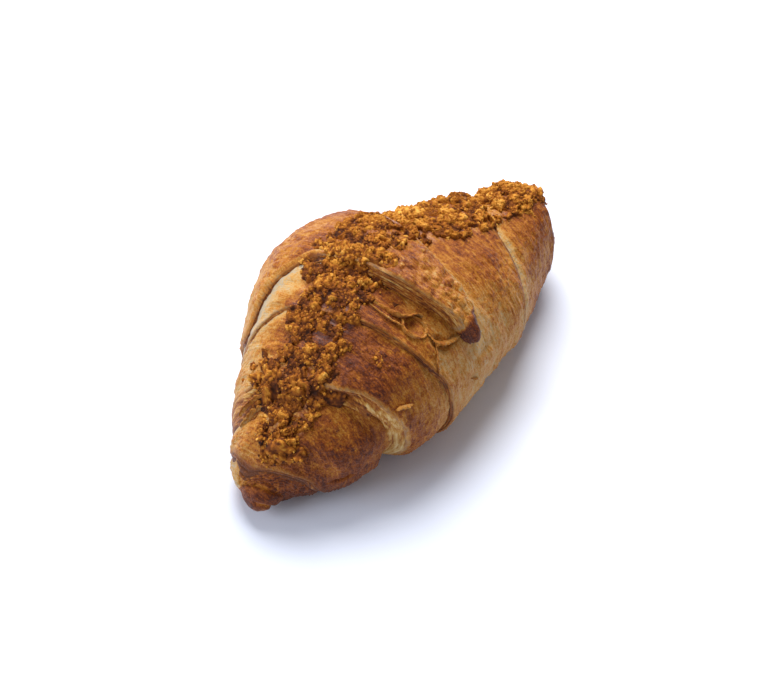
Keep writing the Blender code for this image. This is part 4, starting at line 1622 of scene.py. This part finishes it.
    def surface(self, x: Array, angle: Array) -> tuple[Array, Array]:
        """Returns points of the outermost crust and its outward normals there."""
        step_x, step_angle = 0.8, 1.2

        def at(dx: float, da: float) -> Array:
            """Returns the crust beside the wanted points."""
            return self.roll.crust(x + dx, angle + da, self.roll.outer_lift(x + dx, angle + da))

        along = at(step_x, 0) - at(-step_x, 0)
        around = at(0, step_angle) - at(0, -step_angle)
        return at(0, 0), normalised(np.cross(around, along))

    def paler(self, x: Array) -> Array:
        """Returns how much less the crumble browned along the slim half, where it lies thin and low."""
        return 0.09 * ramp(x, 14.0, 22.0) * (1 - ramp(x, 52.0, 60.0)) - 0.05 * (1 - ramp(x, -24.0, -8.0))

    def lump_places(self, rng: np.random.Generator) -> tuple[Array, Array]:
        """Splits every clump into lumps.

        Returns:
            Their centres and radii.
        """
        centres, radii = [], []
        for x, angle, radius in self.clumps:
            point, normal = self.surface(np.array(float(x)), np.array(float(angle)))
            count = int(rng.integers(*self.lumps)) if radius > self.small_clump else 2
            spread = rng.normal(size=(count, 3)) * radius * self.lump_spread
            height = (spread @ normal)[:, None]
            spread = spread - height * normal * self.flatness
            centres.append(point + spread + normal * (self.rise * radius))
            radii.append(radius * rng.uniform(*self.lump_size, count))
        centres, radii = np.concatenate(centres), np.concatenate(radii)
        for x, angle, radius in self.pits:
            point, normal = self.surface(np.array(float(x)), np.array(float(angle)))
            clear = np.linalg.norm(centres - point - normal * 1.5, axis=1) > radius + 0.45 * radii
            centres, radii = centres[clear], radii[clear]
        return centres, radii

    def bed(self) -> tuple[bpy.types.Object, Array, Array, Array]:
        """Makes the layer of packed crumbs under the clumps: mounds, and domes of three sizes.

        Its edges and its bare patches sink below the crust.

        Returns:
            The piece, and the points, outward directions and browning of its top where it stands free.
        """
        rows, columns = self.bed_steps
        x = np.linspace(BAND.stations[0][0] + 0.5, BAND.stations[-1][0] - 0.5, rows)[:, None]
        middle, half = curves(BAND.stations, x)
        angle = middle + half * np.linspace(-self.bed_across, self.bed_across, columns)[None]
        x = np.broadcast_to(x, angle.shape)
        lift = self.roll.outer_lift(x, angle)
        plain = self.roll.crust(x, angle, lift)
        cover = BAND.inside(x, angle) + 0.45 * noise(plain, 6.0, 71) + 0.30 * noise(plain, 2.4, 72)
        bare = ramp(noise(plain, 6.0, 73) + 0.3 * noise(plain, 2.0, 77), 0.32, 0.5)
        thick = ramp(cover, 0.04, 0.38) * (1 - bare)

        def bell(place: float, at: float, size: float) -> Array:
            """Returns a bell of the distance from a place and angle, 1 in its middle."""
            around = (angle - at) * np.radians(1) * self.top_radius
            return np.exp(-((x - place) ** 2 + around**2) / size**2)

        mounds = (self.mound * radius * bell(place, at, 0.95 * radius) for place, at, radius in self.clumps)
        mound = functools.reduce(np.maximum, mounds)
        thick = np.maximum(thick, np.clip(2 * mound - 0.3, 0, 1))
        for place, at, radius in self.pits:
            thick = thick * (1 - bell(place, at, 0.8 * radius))
        crumbs = sum(high * caps(plain, size, seed) for high, size, seed in self.crumb_domes)
        crumbs = crumbs + 0.45 * turbulence(plain, 1.8, 78, 2)
        top = (self.bed_thickness * 0.4 + crumbs + mound) * thick - self.bed_sinks * (1 - thick)
        upper = self.roll.crust(x, angle, lift + top)
        lower = self.roll.crust(x, angle, lift + np.minimum(top, 0) - 0.8)
        every = slice(None, None, -6)
        rings = np.concatenate([upper, lower[:, every]], 1)
        # painted shade: the lower the crumbs of the bed, the darker
        toast = self.bed_toast - self.painted_shade_by_height * (crumbs + mound) - self.paler(x)
        toast = np.clip(toast, 0.10, 1.0)
        whole = np.concatenate([toast, toast[:, every]], 1)
        made = closed_loft("crumble_bed", rings + self.shift, {"toast": whole})
        free = top > 0.5
        _, normal = self.surface(x[free], angle[free])
        return made, upper[free], normal, toast[free]

    def build(self) -> list[bpy.types.Object]:
        """Builds the bed, the lumps on it, the grains that cover both and the loose grains.

        Returns:
            One object for each kind.
        """
        rng = np.random.default_rng(self.seed)
        made = [self.bed()]
        centres, radii = self.lump_places(rng)
        LOG.info("%d lumps", len(radii))
        upper_limit = np.inf
        for number, (limit, rows, columns) in enumerate(self.core_steps):
            mine = (radii >= limit) & (radii < upper_limit)
            upper_limit = limit
            name = f"crumble_lumps_{number + 1}"
            made.append(self.cores(name, rows, columns, centres[mine], radii[mine], rng))
        pieces, *parts = zip(*made)
        pieces = list(pieces)
        places, ways, toasts = (np.concatenate(part) for part in parts)
        for name, total, small, large, rows, columns in self.kinds:
            chosen = rng.choice(len(places), total * 3)
            away = np.linalg.norm(places[chosen][:, None] - centres[None], axis=-1)
            free = ~(away < radii[None] * self.inner_share).any(1)
            chosen = chosen[free][:total]
            size = blend(small, large, rng.random(len(chosen)) ** 1.5)
            spots = places[chosen] + ways[chosen] * (size * self.grain_out)[:, None]
            least, spread = self.grain_range
            # each grain takes a share of the browning under it, and so its painted light and shade
            toast = self.grain_share * toasts[chosen] + least + spread * rng.random(len(chosen))
            pieces.append(self.scatter(name, rows, columns, spots, size, toast, rng))
        return [*pieces, self.loose(rng)]

    def cores(
        self, name: str, rows: int, columns: int, centres: Array, radii: Array, rng: np.random.Generator
    ) -> tuple[bpy.types.Object, Array, Array, Array]:
        """Makes lumps of packed crumbs: lopsided balls, craggy by noise, with domes of two sizes all over.

        Returns:
            The piece, and its points, their outward directions and their browning.
        """
        unit, faces = ball(rows, columns)
        count = len(centres)
        offset = rng.uniform(0, 500, (count, 1, 3))
        stretch = 1 + rng.uniform(-self.crags, self.crags, (count, 1, 3))
        lopsided = 1 + self.lopsided * noise(unit[None] * 1.3 + offset, 1.0, 7)[..., None]
        shape = unit[None] * lopsided * stretch * radii[:, None, None] * self.lump_core
        domes = sum(high * caps(shape + offset, size, seed) for high, size, seed in self.lump_domes) - 0.35
        domes = domes + 0.70 * turbulence(shape + offset, 2.4, 11, 3)
        shape = shape + unit[None] * domes[..., None]
        turned = np.einsum("nij,nkj->nki", turned_at_random(count, rng), shape)
        outward = normalised(turned)
        points = (turned + centres[:, None]).reshape(-1, 3)
        own = self.lump_toast + 0.07 * rng.normal(size=(count, 1)) - self.paler(centres[:, :1])
        # painted shade where a lump faces the crust and between its domes, painted light on its domes
        upward = normalised((centres - (0, 0, self.middle_height)) * (0, 1, 1))
        low = np.clip(0.35 - (outward * upward[:, None]).sum(-1), 0, 1)
        toast = np.clip(own + self.painted_shade_facing_crust * low - self.painted_light_by_dome * domes, 0.0, 1.0).ravel()
        made = self.joined(name, points, faces, len(unit), toast)
        return made, points, outward.reshape(-1, 3), toast

    def loose(self, rng: np.random.Generator) -> bpy.types.Object:
        """Scatters fine grains over the band, thickest in its middle, and a few strays beside it."""
        x = rng.uniform(BAND.stations[0][0], BAND.stations[-1][0], self.loose_grains * 2)
        middle, half = curves(BAND.stations, x)
        angle = middle + half * rng.normal(size=len(x)) * 0.55
        keep = rng.random(len(x)) < 0.25 + ramp(BAND.inside(x, angle), -0.2, 0.4)
        x, angle = x[keep][: self.loose_grains], angle[keep][: self.loose_grains]
        for stray_x, stray_angle, count in self.stray:
            x = np.concatenate([x, stray_x + rng.normal(size=count) * 1.3])
            angle = np.concatenate([angle, stray_angle + rng.normal(size=count) * 2.2])
        point, normal = self.surface(x, angle)
        size = blend(*self.loose_size, rng.random(len(x)) ** 1.8)
        places = point + normal * (size * 0.5 + 0.2)[:, None]
        toast = 0.25 + 0.4 * rng.random(len(x))
        return self.scatter("crumble_loose_grains", 4, 6, places, size, toast, rng)

    def scatter(
        self,
        name: str,
        rows: int,
        columns: int,
        places: Array,
        sizes: Array,
        toast: Array,
        rng: np.random.Generator,
    ) -> bpy.types.Object:
        """Joins craggy balls into one piece.

        Each ball's points move in or out by noise, it is squashed and stretched by up to a fifth, turned at
        random, sized and placed.

        Args:
            name: the piece's name.
            rows: faces from pole to pole of a ball.
            columns: faces round it.
            places: (N, 3) centres.
            sizes: (N,) radii.
            toast: (N,) browning.
            rng: the seeded generator.

        Returns:
            The joined object.
        """
        unit, faces = ball(rows, columns)
        count = len(places)
        stretch = 1 + rng.uniform(-self.crags, self.crags, (count, 1, 3))
        crag = 1 + rng.uniform(-self.crags, self.crags, (count, len(unit), 1))
        shape = unit[None] * crag * stretch * sizes[:, None, None]
        turned = np.einsum("nij,nkj->nki", turned_at_random(count, rng), shape) + places[:, None]
        toast = np.repeat(toast, len(unit))
        return self.joined(name, turned.reshape(-1, 3), faces, len(unit), toast, rounded=False)

    def joined(
        self, name: str, points: Array, faces: list[Array], each: int, toast: Array, rounded: bool = True
    ) -> bpy.types.Object:
        """Makes one piece of many balls, whose points follow one another, each ball with the same faces."""
        shift = (np.arange(len(points) // each) * each)[:, None, None]
        whole = [(f[None] + shift).reshape(-1, f.shape[1]) for f in faces]
        return add_mesh(name, points + self.shift, whole, {"toast": toast}, rounded)


# ---------------------------------------------------------------- stage


@dataclass(frozen=True)
class Studio:
    """The floor, the camera and the soft light."""

    azimuth: float = -49.8
    elevation: float = 52.0
    distance: float = 1200.0
    aim: tuple[float, float, float] = (0.0, 0.0, 25.0)
    frame_offset: tuple[float, float] = (-2.98, -4.43)
    lens: float = 178.0
    floor_size: float = 6000.0
    lamp_colours: tuple[str, ...] = ("#ffffff", "#e9f2ff")
    # each lamp: direction, distance, diameter and power
    lamps: tuple[tuple[tuple[float, float, float], float, float, float], ...] = (
        ((0.45, 0.42, 0.95), 900.0, 700.0, 12.8),
        ((-0.80, 0.45, 0.50), 900.0, 600.0, 4.8),
    )
    sky: str = "#ecebee"
    sky_strength: float = 0.40

    def build(self, shift: Array) -> None:
        """Makes the floor, lights and camera.

        Args:
            shift: the roll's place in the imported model's frame.
        """
        self.floor()
        self.lights()
        self.camera(shift)
        bpy.context.scene.view_settings.view_transform = "Standard"

    def floor(self) -> None:
        """Lays a plain pale plane at the croissant's foot."""
        half = self.floor_size / 2
        corners = np.array([(-half, -half, 0), (half, -half, 0), (half, half, 0), (-half, half, 0)], float)
        floor = add_mesh("floor", corners, [np.array([[0, 1, 2, 3]])], {})
        floor.data.materials.append(PaleFloor().make())

    def lights(self) -> None:
        """Puts a large lamp high behind, a weak one at the thick end's side and an even sky all round."""
        for colour, (direction, distance, size, power) in zip(self.lamp_colours, self.lamps):
            way = np.array(direction) / np.linalg.norm(direction)
            lamp = bpy.data.lights.new("lamp", "AREA")
            lamp.shape = "DISK"
            lamp.size = size * MM
            lamp.energy = power
            lamp.color = linear(colour)[:3]
            made = bpy.data.objects.new("lamp", lamp)
            made.location = way * distance * MM
            made.rotation_mode = "QUATERNION"
            made.rotation_quaternion = made.location.to_track_quat("Z", "Y")
            bpy.context.scene.collection.objects.link(made)
        world = bpy.data.worlds.new("sky")
        bpy.context.scene.world = world
        world.use_nodes = True
        background = world.node_tree.nodes["Background"]
        background.inputs["Color"].default_value = linear(self.sky)
        background.inputs["Strength"].default_value = self.sky_strength

    def camera(self, shift: Array) -> None:
        """Sets the camera on a sphere round its aim, looking inwards, with no lens shift."""
        turn, tilt = math.radians(self.azimuth), math.radians(self.elevation)
        right = np.array([math.cos(turn), math.sin(turn), 0.0])
        back = np.array([math.sin(turn) * math.cos(tilt), -math.cos(turn) * math.cos(tilt), math.sin(tilt)])
        up = np.cross(back, right)
        offset_x, offset_y = self.frame_offset
        aim = np.array(self.aim) + shift + right * offset_x + up * offset_y
        camera = bpy.data.cameras.new("camera")
        camera.lens = self.lens
        camera.clip_end = 20.0
        made = bpy.data.objects.new("camera", camera)
        bpy.context.scene.collection.objects.link(made)
        made.location = (aim + back * self.distance) * MM
        made.rotation_mode = "QUATERNION"
        rotation = np.stack([right, up, back], axis=1)
        made.rotation_quaternion = Matrix(rotation.tolist()).to_quaternion()
        bpy.context.scene.camera = made


def dress(piece: bpy.types.Object, material: bpy.types.Material) -> None:
    """Gives a finished piece its material and body, and hides the imported part of the node it stands for."""
    piece.data.materials.append(material)
    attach(piece, BODY)
    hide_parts(NODE)
    LOG.info("%s: %d faces", piece.name, len(piece.data.polygons))


def main() -> None:
    """Builds the croissant piece by piece, then the stage."""
    logging.basicConfig(level=logging.INFO, format="%(message)s", stream=sys.stdout)
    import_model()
    roll = Roll()
    shift = place_in_frame(roll)
    LOG.info("shift %s", np.round(shift, 2))
    crust = EggWashedCrust().make()
    rims = (Lip.NEAR_RIM, Lip.FAR_RIM)
    turns = (
        Turn(
            roll, shift, "near_tip", -69.9, Lip.NEAR_RIM, (Lip.FAR_TOP, Lip.FAR_SECOND, Lip.FAR_RIM), 10, 40,
            below=(Lip.NEAR_RIM,), ridged=Lip.NEAR_RIM,
        ),
        Turn(
            roll, shift, "near_end", Lip.NEAR_RIM, Lip.NEAR_THIRD,
            (*rims, Lip.FAR_TOP, Lip.FAR_SECOND), 35, 80,
            below=(Lip.NEAR_THIRD,), dents=((-50.0, -6.0, 2.6, 1.5, 1.4), (-57.0, 121.0, 1.2, 9.0, 1.5)),
            ridged=Lip.NEAR_RIM,
        ),
        Turn(
            roll, shift, "third_turn", Lip.NEAR_THIRD, Lip.NEAR_SECOND,
            (*rims, Lip.NEAR_THIRD, Lip.FAR_TOP, Lip.FAR_SECOND), 60, 80, below=(Lip.NEAR_SECOND,),
            tears=((62.0, 13.0, 1.9, 0.45), (46.0, 24.0, 4.3, 0.6), (22.0, 12.0, 3.0, 0.4)),
        ),
        Turn(
            roll, shift, "second_turn", Lip.NEAR_SECOND, Lip.FAR_SECOND,
            (*rims, Lip.NEAR_THIRD, Lip.NEAR_SECOND, Lip.FAR_SECOND), 110, 150,
            below=(Lip.NEAR_TOP, Lip.FAR_TOP), lip_radius=0.5,
            dents=(
                (-9.0, 70.0, 3.0, 9.0, 1.8), (-11.6, 56.0, 2.0, 4.0, 1.6),
                (-8.0, 41.0, 1.6, 3.0, 2.4), (-4.0, 36.0, 3.0, 1.6, 1.8), (8.0, 14.0, 5.0, 2.4, 0.8),
            ),
        ),
        Turn(
            roll, shift, "far_end", Lip.FAR_SECOND, Lip.FAR_RIM,
            (*rims, Lip.NEAR_THIRD, Lip.NEAR_SECOND, Lip.NEAR_TOP), 160, 70, below=(Lip.FAR_SECOND,),
        ),
        Turn(
            roll, shift, "far_tip", Lip.FAR_RIM, 69.9,
            (Lip.NEAR_RIM, Lip.NEAR_THIRD, Lip.NEAR_SECOND, Lip.NEAR_TOP), 190, 40, below=(Lip.FAR_RIM,),
        ),
    )
    for turn in turns:
        dress(turn.build(), crust)
    dress(TongueTurn(roll, shift).build(), crust)
    dress(TwistedTip(shift).build(), crust)
    for number, leaf in enumerate(LEAVES):
        dress(leaf.build(f"torn_leaf_{number + 1}", roll, shift, 500 + number), crust)
    crumbs = SpicedCrumble().make()
    for piece in Crumble(roll, shift).build():
        dress(piece, crumbs)
    Studio().build(shift)


if __name__ == "__main__":
    main()
